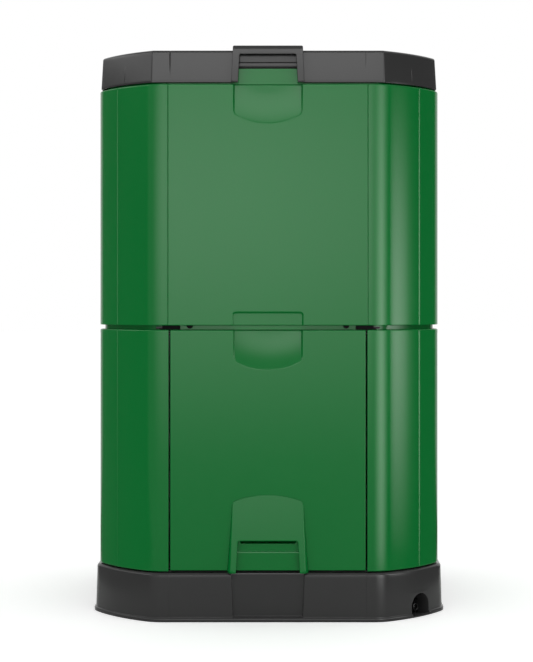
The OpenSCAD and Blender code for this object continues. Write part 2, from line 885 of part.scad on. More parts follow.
module seam_lugs() {
  color(dark) for (a = [0, 180])
    rotate([0, 0, a]) for (s = [-1, 1])
      intersection() {
        pin_y(lug_r, s * lug_x, -body_half + 2, -body_half + seam_depth - fit, tier2_z - fit);
        translate([s * lug_x - 2 * lug_r, -body_half, tier2_z - 2 * lug_r])
          cube([4 * lug_r, seam_depth, 2 * lug_r - fit]);
      }
}

module top_rim() {
  d = seam_depth;
  color(green) {
    ring_prism(tier_ring(d), tier_ring(d + rim_t), tier2_top, rim_top);
    ring_prism(tier_ring(d - 4), tier_ring(wall_t), tier2_top, tier2_top + 2);
  }
}

// Lid
module lid_solid() {
  top = lid_half - lid_draft;
  loft([
    [lid_z, lid_ring(lid_half)],
    [lid_top - lid_edge, lid_ring(top)],
    [lid_top - 0.5 * lid_edge, lid_ring(top - 0.134 * lid_edge)],
    [lid_top - 0.134 * lid_edge, lid_ring(top - 0.5 * lid_edge)],
    [lid_top, lid_ring(top - lid_edge)],
    [lid_top + 0.6 * lid_crown, 0.7 * lid_ring(top - lid_edge)],
    [lid_top + lid_crown, 0.4 * lid_ring(top - lid_edge)]
  ]);
}

module grip_opening() {
  x0 = grip_half + grip_flare - grip_leg;
  x1 = grip_half - grip_leg;
  z1 = lid_top + grip_rise - grip_bar;
  polygon(rounded([[-x0, lid_z - 1], [x0, lid_z - 1], [x1, z1], [-x1, z1]], [0, 0, grip_r, grip_r]));
}

module lid_screw_places() {
  for (s = [-1, 1]) translate([s * (grip_half - grip_leg / 2 + 1), 0, lid_z + 24]) children();
}

module lid_shell() {
  in = lid_half - lid_draft - skin_t;
  color(grey) difference() {
    lid_solid();
    prism(lid_ring(in), lid_z - 1, lid_top - skin_t);
    along_y(-lid_half - 5, -in + 5) intersection() {
      grip_opening();
      translate([-200, 0]) square([400, lid_top + grip_rise - grip_bar - 2]);
    }
    lid_screw_places() pin_y(screw_r + pin_fit, 0, -lid_half - 1, -in + 1, 0);
  }
}

// Inner tray of the lid: a flange over the seal, a shadow groove and an upright wall
module lid_liner() {
  out = lid_half - lid_draft - skin_t - 2;
  wall = out - liner_step;
  z0 = rim_top + 3.5;
  z1 = z0 + liner_flange;
  color(grey) difference() {
    union() {
      prism(lid_ring(out), z0, z1);
      prism(lid_ring(wall - liner_step), z1 - 1, lid_top - skin_t - 8);
      prism(lid_ring(wall), z1 + liner_step, lid_top - skin_t - 8);
    }
    prism(lid_ring(wall - liner_step - skin_t), z0 + skin_t, lid_top);
  }
}

module lid_foam() {
  out = lid_half - lid_draft - 2 * skin_t - 2 * liner_step - 2 - fit;
  color(foam_colour) prism(lid_ring(out), rim_top + 3.5 + skin_t + fit, lid_top - skin_t - fit);
}

module lid_seal() {
  d = seam_depth;
  color(dark) ring_prism(tier_ring(d - 2), tier_ring(d + rim_t + 2), rim_top + 0.3, rim_top + 3.5);
}

module lid_handle() {
  top = lid_top + grip_rise;
  foot = grip_half + grip_flare;
  color(grey) difference() {
    intersection() {
      along_x(grip_half + 20) polygon([
        [-lid_half - grip_proud, lid_z], [-lid_half - grip_proud + 1.5, top - 6],
        [-lid_half - grip_proud + 5, top], [-lid_half + grip_root / 3, top],
        [-lid_half + grip_root, lid_top + 1], [-lid_half + grip_root, lid_z]
      ]);
      along_y(-lid_half - 30, -lid_half + 60) difference() {
        polygon(rounded(
          [[-foot, lid_z], [foot, lid_z], [grip_half, top], [-grip_half, top]],
          [0, 0, grip_r, grip_r]
        ));
        grip_opening();
      }
    }
    lid_solid();
    lid_screw_places() pin_y(screw_r + pin_fit, 0, -lid_half - thread_l - 1.5, -lid_half + 10, 0);
  }
}

module lid_screws() {
  in = lid_half - lid_draft - skin_t;
  color(steel) lid_screw_places() {
    pin_y(screw_r, 0, -lid_half - thread_l - 1, -in + 1, 0);
    pin_y(0.9 * head_r, 0, -in + 0.1, -in + 0.64 * head_t, 0);
  }
}

// Lid hinge
module hinge_hole() {
  pin_x(hinge_pin_r + pin_fit, -hinge_w, hinge_w, hinge_y, hinge_z);
}

module hinge_brackets() {
  w = hinge_w / 3 - 0.4;
  color(grey) mirrored_x() translate([hinge_x, 0, 0]) difference() {
    union() {
      for (s = [-1, 1])
        translate([s * hinge_w / 3 - w / 2, 0, 0]) {
          pin_x(knuckle_r, 0, w, hinge_y, hinge_z);
          translate([0, body_half + 0.1, hinge_z - plate_drop - 2]) cube([w, knuckle_r + 0.2, plate_drop + 2]);
        }
      translate([0, 0, hinge_z - plate_drop]) along_y(body_half + 0.1, body_half + 0.1 + plate_t) polygon(rounded(
        [[-hinge_w / 2, -plate_h], [hinge_w / 2, -plate_h], [hinge_w / 2, 0], [-hinge_w / 2, 0]],
        [plate_r, plate_r, 1, 1]
      ));
    }
    hinge_hole();
    bracket_screw_places() pin_y(screw_r + pin_fit, 0, body_half - 1, body_half + 5, 0);
  }
}

module bracket_screw_places() {
  for (s = [-1, 1]) translate([s * hinge_w / 4, 0, hinge_z - plate_drop - 0.56 * plate_h]) children();
}

module bracket_screws() {
  color(steel) mirrored_x() translate([hinge_x, 0, 0]) bracket_screw_places() {
    pin_y(screw_r, 0, body_half + 0.1, body_half + plate_t + 0.5, 0);
    pin_y(head_r, 0, body_half + plate_t + 0.2, body_half + plate_t + 0.84 * head_t, 0);
  }
}

module hinge_pins() {
  color(steel) mirrored_x()
    pin_x(hinge_pin_r, hinge_x - hinge_w / 2, hinge_x + hinge_w / 2, hinge_y, hinge_z);
}

module lid_hinge_arms() {
  w = hinge_w / 3 - 0.6;
  arm_t = 0.86 * plate_t;
  in = lid_half - lid_draft;
  color(grey) mirrored_x() translate([hinge_x - w / 2, 0, 0]) difference() {
    union() {
      pin_x(knuckle_r, 0, w, hinge_y, hinge_z);
      translate([w / 2, 0, 0]) along_x(w / 2) polygon([
        [hinge_y - 2, hinge_z + 3], [hinge_y + 2.5, hinge_z + 4],
        [lid_half + arm_t, hinge_z + 3 * knuckle_r], [lid_half + arm_t, lid_z + 0.62 * lid_h],
        [in, lid_z + 0.72 * lid_h], [in, lid_z + 4], [lid_half, lid_z + 1]
      ]);
    }
    lid_solid();
    translate([-w, 0, 0]) hinge_hole();
  }
}

base_reservoir();
floor_grate();
tap_body();
tap_nut();
tap_seal();
tap_lever();
core_foot();
core_lower();
core_upper();
core_cap();
wall_shell(-1, wall_split, tier1_z);  // left_lower_shell
wall_foam(-1, wall_split, tier1_z);  // left_lower_foam
wall_liner(-1, wall_split, tier1_z);  // left_lower_liner
wall_shell(1, wall_split, tier1_z);  // right_lower_shell
wall_foam(1, wall_split, tier1_z);  // right_lower_foam
wall_liner(1, wall_split, tier1_z);  // right_lower_liner
wall_shell(-1, panel_half + 0.3, tier2_z);  // left_upper_shell
wall_foam(-1, panel_half + 0.3, tier2_z);  // left_upper_foam
wall_liner(-1, panel_half + 0.3, tier2_z);  // left_upper_liner
wall_shell(1, panel_half + 0.3, tier2_z);  // right_upper_shell
wall_foam(1, panel_half + 0.3, tier2_z);  // right_upper_foam
wall_liner(1, panel_half + 0.3, tier2_z);  // right_upper_liner
panel_shell();  // front_panel_shell
panel_foam();  // front_panel_foam
panel_liner();  // front_panel_liner
at_back() panel_shell();  // back_panel_shell
at_back() panel_foam();  // back_panel_foam
at_back() panel_liner();  // back_panel_liner
mid_band();
seam_clips();
seam_lugs();
door_pins();
top_rim();
hinge_brackets();
hinge_pins();
bracket_screws();
door_shell();  // front_door_shell
door_foam();  // front_door_foam
door_liner();  // front_door_liner
door_handle();  // front_door_handle
door_screws();  // front_door_screws
at_back() door_shell();  // back_door_shell
at_back() door_foam();  // back_door_foam
at_back() door_liner();  // back_door_liner
at_back() door_handle();  // back_door_handle
at_back() door_screws();  // back_door_screws
lid_shell();
lid_foam();
lid_liner();
lid_seal();
lid_handle();
lid_hinge_arms();
lid_screws();
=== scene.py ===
# %% [markdown]
# An insulated compost bin, dressed in Blender.
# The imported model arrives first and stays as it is: it says where every piece lies, in metres.
# Everything below is placed from its boxes, so nothing has to be fitted by eye.

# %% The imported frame
import json
import math

import bmesh
import bpy
import numpy as np
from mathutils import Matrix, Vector


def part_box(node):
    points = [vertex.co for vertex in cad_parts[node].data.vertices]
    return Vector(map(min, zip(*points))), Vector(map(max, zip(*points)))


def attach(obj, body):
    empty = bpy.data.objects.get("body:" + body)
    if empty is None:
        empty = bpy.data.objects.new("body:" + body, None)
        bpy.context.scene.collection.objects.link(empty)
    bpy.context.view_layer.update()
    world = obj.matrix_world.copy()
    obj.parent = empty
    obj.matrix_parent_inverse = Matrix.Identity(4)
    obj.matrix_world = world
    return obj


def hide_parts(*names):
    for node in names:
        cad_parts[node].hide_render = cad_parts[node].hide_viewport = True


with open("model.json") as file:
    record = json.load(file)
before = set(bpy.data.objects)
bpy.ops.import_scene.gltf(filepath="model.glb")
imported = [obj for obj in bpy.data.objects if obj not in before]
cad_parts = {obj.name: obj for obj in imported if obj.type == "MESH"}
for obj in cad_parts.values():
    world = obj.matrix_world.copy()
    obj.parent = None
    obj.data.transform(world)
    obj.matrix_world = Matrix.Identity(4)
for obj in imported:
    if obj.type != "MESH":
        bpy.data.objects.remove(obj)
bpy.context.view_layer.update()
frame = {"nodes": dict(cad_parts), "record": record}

# %% [markdown]
# The photograph was taken from the front at about waist height with a long lens. A level camera with a
# small shift gives the same upright edges as the photograph has, where a tilt would make them lean. The
# horizon lies a little over the middle of the picture, so the shift moves the frame down.

# %% Camera
PHOTO_W, PHOTO_H = 533, 662
FOCAL_PX = 1657
CAMERA_PLACE = (0.057, -3.787, 0.664)
AXIS_PX = (295.5, 300.0)


def make_camera():
    """A camera whose optical axis meets the picture at AXIS_PX, looking level along +Y."""
    data = bpy.data.cameras.new("camera")
    data.sensor_width = 36.0
    data.lens = FOCAL_PX / PHOTO_H * data.sensor_width
    data.shift_x = (PHOTO_W / 2 - AXIS_PX[0]) / PHOTO_H
    data.shift_y = (AXIS_PX[1] - PHOTO_H / 2) / PHOTO_H
    data.clip_end = 60.0
    camera = bpy.data.objects.new("camera", data)
    camera.location = CAMERA_PLACE
    camera.rotation_euler = (math.radians(90), 0, 0)
    bpy.context.scene.collection.objects.link(camera)
    bpy.context.scene.camera = camera
    return camera


camera = make_camera()
print("lens", round(camera.data.lens, 1), "mm")

# %% [markdown]
# Most pieces of a moulded bin are surfaces that follow one closed outline: a square whose corners are cut
# at 45 degrees. The corner faces are bowed a little, and a blend leads to them from the sides. A piece is a
# grid: one parameter runs along the outline, the other along a profile of inset and height. So that every
# ring of a piece has the same columns, their places are fixed first, as stations, and each ring is worked
# out from them.

# %% Outlines
MM = 0.001
ROOT = math.sqrt(2)
FLAT_BY = 45 * MM
CUT_FACES = (1, 3, 5, 7)
BOW_REACH = 60 * MM


def stations(places=None, steps=14):
    """Where an outline has its points. It goes round eight faces, numbered anticlockwise from the +X
    side, with the cut corners at the odd numbers. A face has the chosen places along it, measured from
    its middle, and then the blend to the next face. Returns the face, the place (nan on a blend) and how
    far along the blend a point is."""
    face, place, share = [], [], []
    for f in range(8):
        flat = np.sort(np.asarray((places or {}).get(f, ()), float))
        face.append(np.full(len(flat) + steps + 1, f))
        place.append(np.concatenate([flat, np.full(steps + 1, np.nan)]))
        share.append(np.concatenate([0 * flat, np.linspace(0, 1, steps + 1)]))
    return np.concatenate(face), np.concatenate(place), np.concatenate(share)


def corner_arcs(shape, inset=0.0, least=3 * MM):
    """Half width, blend radius, the coordinate of the bow's centre (the same in x and y), the bow's
    radius, the blend's centre along the side, and the angle where blend and bow touch. A shape is (half
    width, cut, blend radius, bow). Moved inwards, a cut gives up (2 - root 2) of the inset, the radius
    all of it, and the bow flattens out until the inside of a wall."""
    half, cut, radius, bow = shape
    half, cut, radius = half - inset, cut - (2 - ROOT) * inset, max(radius - inset, least)
    bow = max(bow * (1 - inset / FLAT_BY), 0.01 * MM)
    bow_r = (cut ** 2 / 2 + bow ** 2) / (2 * bow)
    core = ((2 * half - cut) / ROOT + bow - bow_r) / ROOT
    across = math.sqrt((bow_r - radius) ** 2 - (half - radius - core) ** 2)
    return half, radius, core, bow_r, core + across, math.atan2(across, half - radius - core)


def ring(where, shape, inset=0.0):
    """Points and outward normals of a shape at the stations. Each point lies on a circle or a line: a
    centre, a reach and an angle, worked out for the first quadrant and turned to its own."""
    face, place, share = where
    half, radius, core, bow_r, start, touch = corner_arcs(shape, inset)
    even, flat = face % 2 == 0, ~np.isnan(place)
    along = np.nan_to_num(place)
    limit = bow_r * math.sin(math.radians(45) - touch)
    swing = math.radians(45) + np.arcsin(np.clip(along, -limit, limit) / bow_r)
    kinds = [even & flat, even, flat]
    angle = np.select(kinds, [0 * share, touch * share, swing], math.radians(90) - touch * (1 - share))
    x = np.select(kinds, [0 * share, half - radius + 0 * share, core + 0 * share], start)
    y = np.select(kinds, [np.clip(along, -start, start), start + 0 * share, core + 0 * share], half - radius)
    reach = np.select(kinds, [half + 0 * share, radius + 0 * share, bow_r + 0 * share], radius)
    x, y = x + reach * np.cos(angle), y + reach * np.sin(angle)
    turn = np.radians(90) * (face // 2)
    points = np.stack([x * np.cos(turn) - y * np.sin(turn), x * np.sin(turn) + y * np.cos(turn)], -1)
    return points, np.stack([np.cos(angle + turn), np.sin(angle + turn)], -1)


def corner_middle(shape):
    """Distance from the axis of the bin to the middle of a corner face."""
    half, cut, _, bow = shape
    return (2 * half - cut) / ROOT + bow


def quarter(radius, steps=6):
    """A quarter round as (inset, rise) pairs, from its outer face to its flat top."""
    a = np.linspace(0, math.pi / 2, steps + 1)
    return np.stack([radius * (1 - np.cos(a)), radius * np.sin(a)], -1)


def smooth(x):
    """A soft step: 0 below 0, 1 above 1, with level ends."""
    x = np.clip(x, 0, 1)
    return x * x * (3 - 2 * x)


def raised(plan, z):
    """Points of a plan lifted to a height, which is one number or one for each point."""
    return np.column_stack([plan, np.broadcast_to(z, len(plan))])


print("an outline has", len(stations()[0]), "points")

# %% [markdown]
# A mesh is made from its arrays in one call. The grid's faces come from index arithmetic, with no loop over
# points. A closed ring of points at either end is covered by one flat face.

# %% Meshes from arrays
def quads(rows, cols, wrap=True):
    """Four-cornered faces of a grid numbered row by row. wrap joins the last column to the first."""
    r, c = np.meshgrid(np.arange(rows - 1), np.arange(cols if wrap else cols - 1), indexing="ij")
    n = (c + 1) % cols
    return np.stack([r * cols + c, r * cols + n, (r + 1) * cols + n, (r + 1) * cols + c], -1).reshape(-1, 4)


def make_piece(name, points, faces, flat=()):
    """A mesh object from points (n, 3), faces, and extra flat faces. Normals are turned outwards."""
    mesh = bpy.data.meshes.new(name)
    every = [list(map(int, f)) for f in faces] + [list(map(int, f)) for f in flat]
    mesh.from_pydata(np.asarray(points, float).tolist(), [], every)
    shade = np.arange(len(every)) < len(faces)
    work = bmesh.new()
    work.from_mesh(mesh)
    bmesh.ops.recalc_face_normals(work, faces=work.faces)
    work.to_mesh(mesh)
    work.free()
    mesh.polygons.foreach_set("use_smooth", shade)
    piece = bpy.data.objects.new(name, mesh)
    bpy.context.scene.collection.objects.link(piece)
    return piece


def loft(name, rings):
    """A closed solid through rings of points (rows, cols, 3), with a flat face over the first and the
    last."""
    rows, cols = rings.shape[:2]
    ends = [range(cols)[::-1], range((rows - 1) * cols, rows * cols)]
    return make_piece(name, rings.reshape(-1, 3), quads(rows, cols), ends)


def joined(name, grids):
    """One piece of several closed solids, each given as rings (rows, cols, 3)."""
    points, faces, caps, first = [], [], [], 0
    for rings in grids:
        rows, cols = rings.shape[:2]
        points.append(rings.reshape(-1, 3))
        faces.append(quads(rows, cols) + first)
        caps += [np.arange(cols)[::-1] + first, np.arange((rows - 1) * cols, rows * cols) + first]
        first += rows * cols
    return make_piece(name, np.vstack(points), np.vstack(faces), caps)


def dress(piece, body, slot, *nodes, look=None):
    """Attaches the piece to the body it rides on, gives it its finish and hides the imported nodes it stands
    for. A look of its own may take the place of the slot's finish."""
    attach(piece, body)
    if nodes:
        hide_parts(*nodes)
    piece.data.materials.clear()
    piece.data.materials.append(look or FINISH[slot])
    print(piece.name, len(piece.data.polygons), "faces")
    return piece


print("a grid of 3 by 4 has", len(quads(3, 4)), "faces")

# %% [markdown]
# The bin is injection-moulded plastic with a fine spark-eroded grain. At arm's length it reads as satin;
# close up it is a field of tiny bumps. One node group makes that grain, a faint cloudiness of the pigment
# and small changes of gloss, and every finish uses it with its own values. Noise read at Object coordinates
# stays with the piece when it moves. The gloss is weak, as on matt polypropylene, so the index of
# refraction is set low. The level top of the lid has a coarser grain, or it would mirror a lamp like a
# sheet of glass when seen at a flat angle.

# %% The moulded surface group
CLOUD_SCALE = 5.0
FLECK_SCALE = 260.0
GLOSS_SCALE = 38.0
LEVEL_FROM, LEVEL_TO = 0.97, 0.999
GRAIN_HEIGHT = 0.4 * MM


def new_group(name, inputs, outputs):
    """A node group with the given inputs and outputs, and its two end nodes."""
    group = bpy.data.node_groups.new(name, "ShaderNodeTree")
    for label, kind, value in inputs:
        socket = group.interface.new_socket(label, in_out="INPUT", socket_type=kind)
        socket.default_value = value
    for label, kind in outputs:
        group.interface.new_socket(label, in_out="OUTPUT", socket_type=kind)
    return group, group.nodes.new("NodeGroupInput"), group.nodes.new("NodeGroupOutput")


def noise(tree, vector, scale, detail=2.0):
    """The factor of a noise texture read at a place."""
    node = tree.nodes.new("ShaderNodeTexNoise")
    node.inputs["Scale"].default_value = scale
    node.inputs["Detail"].default_value = detail
    tree.links.new(vector, node.inputs["Vector"])
    return node.outputs["Fac"]


def math_node(tree, operation, a, b):
    """One arithmetic node; each of a and b is a number or another node's output."""
    node = tree.nodes.new("ShaderNodeMath")
    node.operation = operation
    for socket, value in zip(node.inputs, (a, b)):
        if isinstance(value, (int, float)):
            socket.default_value = value
        else:
            tree.links.new(value, socket)
    return node.outputs[0]


def moulded_group():
    """Colour times (1 + cloud * slow noise), roughness + gloss change * middle noise, and grain from
    fine noise. Where the surface looks straight up, going by the height of its normal, the top roughness
    is added."""
    group, start, end = new_group(
        "moulded surface",
        [
            ("Color", "NodeSocketColor", (0.5, 0.5, 0.5, 1)),
            ("Roughness", "NodeSocketFloat", 0.4),
            ("Cloud", "NodeSocketFloat", 0.06),
            ("Gloss change", "NodeSocketFloat", 0.06),
            ("Top roughness", "NodeSocketFloat", 0.0),
            ("Grain scale", "NodeSocketFloat", 900.0),
        ],
        [("Color", "NodeSocketColor"), ("Roughness", "NodeSocketFloat"), ("Grain", "NodeSocketFloat")],
    )
    here = group.nodes.new("ShaderNodeTexCoord")
    place = here.outputs["Object"]
    cloud = math_node(group, "SUBTRACT", noise(group, place, CLOUD_SCALE, 3.0), 0.5)
    fleck = math_node(group, "SUBTRACT", noise(group, place, FLECK_SCALE), 0.5)
    mixed = math_node(group, "ADD", cloud, math_node(group, "MULTIPLY", fleck, 0.4))
    factor = math_node(group, "ADD", math_node(group, "MULTIPLY", mixed, start.outputs["Cloud"]), 1.0)
    tint = group.nodes.new("ShaderNodeVectorMath")
    tint.operation = "SCALE"
    group.links.new(start.outputs["Color"], tint.inputs[0])
    group.links.new(factor, tint.inputs["Scale"])
    group.links.new(tint.outputs["Vector"], end.inputs["Color"])
    change = math_node(group, "SUBTRACT", noise(group, place, GLOSS_SCALE, 3.0), 0.5)
    rough = math_node(group, "MULTIPLY", change, start.outputs["Gloss change"])
    rough = math_node(group, "ADD", rough, start.outputs["Roughness"])
    split = group.nodes.new("ShaderNodeSeparateXYZ")
    group.links.new(here.outputs["Normal"], split.inputs[0])
    level = group.nodes.new("ShaderNodeMapRange")
    level.interpolation_type = "SMOOTHSTEP"
    level.inputs["From Min"].default_value = LEVEL_FROM
    level.inputs["From Max"].default_value = LEVEL_TO
    group.links.new(split.outputs["Z"], level.inputs["Value"])
    coarse = math_node(group, "MULTIPLY", level.outputs["Result"], start.outputs["Top roughness"])
    group.links.new(math_node(group, "ADD", rough, coarse), end.inputs["Roughness"])
    grain = group.nodes.new("ShaderNodeTexNoise")
    grain.inputs["Detail"].default_value = 3.0
    group.links.new(place, grain.inputs["Vector"])
    group.links.new(start.outputs["Grain scale"], grain.inputs["Scale"])
    group.links.new(grain.outputs["Fac"], end.inputs["Grain"])
    return group


MOULDED = moulded_group()
print(MOULDED.name, "has", len(MOULDED.nodes), "nodes")


# %% The finishes
def srgb(r, g, b):
    """Linear colour from 0 to 255 display values."""
    v = np.array([r, g, b]) / 255
    linear = np.where(v <= 0.04045, v / 12.92, ((v + 0.055) / 1.055) ** 2.4)
    return (*map(float, linear), 1.0)


def finish(name, colour, rough=0.17, grain=900.0, depth=0.04, cloud=0.05, ior=1.25, metallic=0.0, top=0.0):
    """The moulded surface group feeds colour, roughness and a bump; the rest is set on the shader."""
    material = bpy.data.materials.new(name)
    material.use_nodes = True
    tree = material.node_tree
    shader = tree.nodes["Principled BSDF"]
    group = tree.nodes.new("ShaderNodeGroup")
    group.node_tree = MOULDED
    group.inputs["Color"].default_value = colour
    group.inputs["Roughness"].default_value = rough
    group.inputs["Cloud"].default_value = cloud
    group.inputs["Top roughness"].default_value = top
    group.inputs["Grain scale"].default_value = grain
    bump = tree.nodes.new("ShaderNodeBump")
    bump.inputs["Strength"].default_value = depth
    bump.inputs["Distance"].default_value = GRAIN_HEIGHT
    tree.links.new(group.outputs["Grain"], bump.inputs["Height"])
    tree.links.new(bump.outputs["Normal"], shader.inputs["Normal"])
    tree.links.new(group.outputs["Color"], shader.inputs["Base Color"])
    tree.links.new(group.outputs["Roughness"], shader.inputs["Roughness"])
    shader.inputs["IOR"].default_value = ior
    shader.inputs["Metallic"].default_value = metallic
    return material


FINISH = {
    "green_plastic": finish("green moulded plastic", srgb(6, 105, 44)),
    "green_liner_plastic": finish("green liner plastic", srgb(10, 92, 42), rough=0.4),
    "grey_lid_plastic": finish("grey lid plastic", srgb(50, 50, 50), top=0.65),
    "grey_base_plastic": finish("grey base plastic", srgb(51, 51, 51)),
    "black_plastic": finish("black plastic", srgb(24, 24, 24)),
    "black_rubber": finish("black rubber", srgb(18, 18, 18), rough=0.7),
    "insulating_foam": finish("insulating foam", srgb(226, 220, 204), rough=0.9, grain=420.0, depth=0.5),
    "steel": finish("zinc-plated steel", srgb(170, 172, 176), rough=0.34, metallic=1.0, grain=1500.0),
}
# Darker and less glossy than the black plastic: painted seam shade on the clips and lugs.
SHADOW_BLACK = finish("black plastic with painted seam shade", srgb(8, 8, 8), rough=0.6, ior=1.1)
print("finishes:", len(FINISH) + 1)

# %% [markdown]
# The corner walls wrap two corners of a tier each. A wall is a thick band in plan: its outer face follows the
# tier's outline, its ends are square, and its inner face runs parallel. Every ring of the grid is that plan,
# drawn in a little where the top and bottom edges round over; a ring close beside each rounded edge keeps the
# smooth shading of the long faces true. A fine bead runs up the middle of each corner face.

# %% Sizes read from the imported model
lo_wall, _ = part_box("left_lower_shell")
BODY_HALF = float(-lo_wall[0])
BODY = (BODY_HALF, 128.5 * MM, 75 * MM, 14 * MM)
EDGE_TOP = 3 * MM
EDGE_FOOT = 1.5 * MM
WALL_T = 42 * MM
BEAD_X = 318 * MM
BEAD_RISE = 1.7 * MM
BEAD_HALF = 2.2 * MM
END_R = 1.2 * MM
print("half width of the body", round(BODY_HALF, 4))


# %% Corner walls
def corner_wall(name, node, side):
    """Plan: the tier's outline from the back end round two corners to the front end, small arcs at the
    ends, and the inner face back again. Rings: the plan moved inwards by a quarter round at the bottom
    and at the top."""
    lo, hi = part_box(node)
    end_x = -min(abs(lo[0]), abs(hi[0])) - END_R
    bead = ROOT * BEAD_X - corner_middle(BODY)
    fine = np.linspace(-1.5 * BEAD_HALF, 1.5 * BEAD_HALF, 13)
    bow = np.linspace(-BOW_REACH, BOW_REACH, 13)
    bow = bow[np.abs(np.abs(bow) - bead) > 2 * BEAD_HALF]
    places = {f: np.concatenate([bow, (bead if f in (3, 7) else -bead) + fine]) for f in CUT_FACES}
    where = stations(places)
    points, normals = ring(where, BODY)
    middle = np.where(where[0] % 4 == 3, bead, -bead)
    away = np.where(where[0] % 2 == 1, np.nan_to_num(where[1], nan=1.0) - middle, 1.0) / BEAD_HALF
    points = points + normals * (BEAD_RISE * np.clip(1 - np.abs(away), 0, 1))[:, None]
    keep = points[:, 0] < end_x
    edge = np.array([[end_x, BODY_HALF]])
    outer = np.vstack([edge, points[keep], edge * (1, -1)])
    outer_n = np.vstack([[[0, 1]], normals[keep], [[0, -1]]])
    inner, inner_n = ring(stations(steps=6), BODY, WALL_T)
    keep = inner[:, 0] < end_x
    inner, inner_n = inner[keep][::-1], inner_n[keep][::-1]
    turn = np.radians(np.linspace(-90, 90, 13))[1:-1]
    end_y = np.where(turn < 0.01, -BODY_HALF + END_R, -BODY_HALF + WALL_T - END_R)
    end = np.stack([end_x + END_R * np.cos(turn), end_y + END_R * np.sin(turn)], -1)
    pull = np.linspace(-1, 0.15, 11)[:, None] * np.array([[0, 1]]) + np.array([[0.25, 0]])
    plan = np.vstack([outer, end, inner, end[::-1] * (1, -1)])
    move = np.vstack([outer_n, pull, -0.15 * inner_n, pull[::-1] * (1, -1)])
    rise = [(i, lo[2] + EDGE_FOOT - r) for i, r in quarter(EDGE_FOOT)[::-1]]
    rise += [(0, lo[2] + EDGE_FOOT + MM), (0, hi[2] - EDGE_TOP - MM)]
    rise += [(i, hi[2] - EDGE_TOP + r) for i, r in quarter(EDGE_TOP)]
    rings = np.array([raised(plan - move * i, z) for i, z in rise])
    rings[..., 0] *= -side
    return loft(name, rings)


for tier in ("lower", "upper"):
    for label, side in (("left", -1), ("right", 1)):
        shell = f"{label}_{tier}_shell"
        dress(corner_wall(f"{label}_{tier}_wall", shell, side), "bin", "green_plastic", shell)

# %% [markdown]
# A panel is flat but for its hand scoop, whose floor runs out of the face like a ramp, and its rounded
# border. So its front is a height field: for each (x, z) a depth behind the face. Lines of the grid crowd
# together where the depth changes quickly, so that the steep sides of a hollow stay smooth.

# %% Height fields of the panels
SCOOP_HALF = 71.7 * MM
SCOOP_H = 83 * MM
SCOOP_DEPTH = 12 * MM
SCOOP_ARC = 141 * MM
SCOOP_R = 8 * MM
RECESS_H = 28 * MM
RECESS_DEPTH = 4 * MM


def rounded_edge(distance, radius):
    """Depth of a quarter round at a distance from the edge."""
    t = np.clip(radius - distance, 0, radius)
    return radius - np.sqrt(radius ** 2 - t ** 2)


def inside_box(x, z, half, z0, z1, r):
    """Distance inwards from a rectangle with rounded corners, negative outside."""
    qx = np.abs(x) - half + r
    qz = np.abs(z - (z0 + z1) / 2) - (z1 - z0) / 2 + r
    return -(np.hypot(np.maximum(qx, 0), np.maximum(qz, 0)) + np.minimum(np.maximum(qx, qz), 0) - r)


def scoop_depth(x, z, top):
    """A hollow under an arched outline, with the section of a circle: it meets the face along the arc
    and is deepest at the top. Its two sides drop over a few millimetres, and the lower corners are
    rounded by a smooth minimum of the distances to the side and to the arc."""
    ramp_r = (SCOOP_DEPTH ** 2 + SCOOP_H ** 2) / (2 * SCOOP_DEPTH)
    arc = SCOOP_ARC - np.hypot(x, z - (top - SCOOP_H + SCOOP_ARC))
    ramp = SCOOP_DEPTH - ramp_r + np.sqrt(ramp_r ** 2 - np.clip(SCOOP_H - arc, 0, SCOOP_H) ** 2)
    side = SCOOP_HALF - np.abs(x)
    corner = SCOOP_R - np.hypot(np.maximum(SCOOP_R - side, 0), np.maximum(SCOOP_R - arc, 0))
    inside = np.where((side < SCOOP_R) & (arc < SCOOP_R), corner, np.minimum(side, arc))
    ramp = np.clip(ramp, 0, SCOOP_DEPTH) * (z <= top + MM)
    return ramp * smooth((inside + 0.6 * MM) / (3.4 * MM))


def crowd(lo, hi, step, *bands):
    """Grid lines from lo to hi: a coarse step, and a finer one in each band (from, to, step)."""
    lines = [np.arange(lo, hi, step), [hi]]
    for a, b, fine in bands:
        lines.append(np.arange(max(a, lo), min(b, hi), fine))
    lines = np.unique(np.concatenate(lines).round(6))
    keep = np.concatenate([[True], np.diff(lines) > 0.12 * MM])
    keep[-1] = True
    return lines[keep]


def slab(name, node, depth, x_bands, z_bands, turned=False):
    """A closed slab whose front is a height field over the node's box, with its sides run straight back."""
    lo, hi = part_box(node)
    half, z0, z1 = float(hi[0]), float(lo[2]), float(hi[2])
    edges_x = [(-half, -half + 2 * MM, 0.3 * MM), (half - 2 * MM, half, 0.3 * MM)]
    edges_z = [(z0, z0 + 2 * MM, 0.3 * MM), (z1 - 3.5 * MM, z1, 0.4 * MM)]
    xs = crowd(-half, half, 14 * MM, *edges_x, *x_bands)
    zs = crowd(z0, z1, 14 * MM, *edges_z, *z_bands)
    x, z = np.meshgrid(xs, zs)
    inward = depth(x, z)
    inward = inward + rounded_edge(half - np.abs(x), 1.2 * MM)
    inward = inward + rounded_edge(z - z0, EDGE_FOOT) + rounded_edge(z1 - z, EDGE_TOP)
    front = np.stack([x, -BODY_HALF + inward, z], -1)
    rows, cols = x.shape
    index = np.arange(rows * cols).reshape(rows, cols)
    rim = np.concatenate([index[0], index[1:, -1], index[-1, -2::-1], index[-2:0:-1, 0]])
    back = front.reshape(-1, 3)[rim].copy()
    back[:, 1] = -BODY_HALF + WALL_T
    points = np.vstack([front.reshape(-1, 3), back])
    count, first = len(rim), rows * cols
    after = np.roll(np.arange(count), -1)
    sides = np.stack([rim, rim[after], first + after, first + np.arange(count)], -1)
    if turned:
        points = points * (-1, -1, 1)
    faces = quads(rows, cols, wrap=False)
    return make_piece(name, points, faces, [*sides, range(first, first + count)])


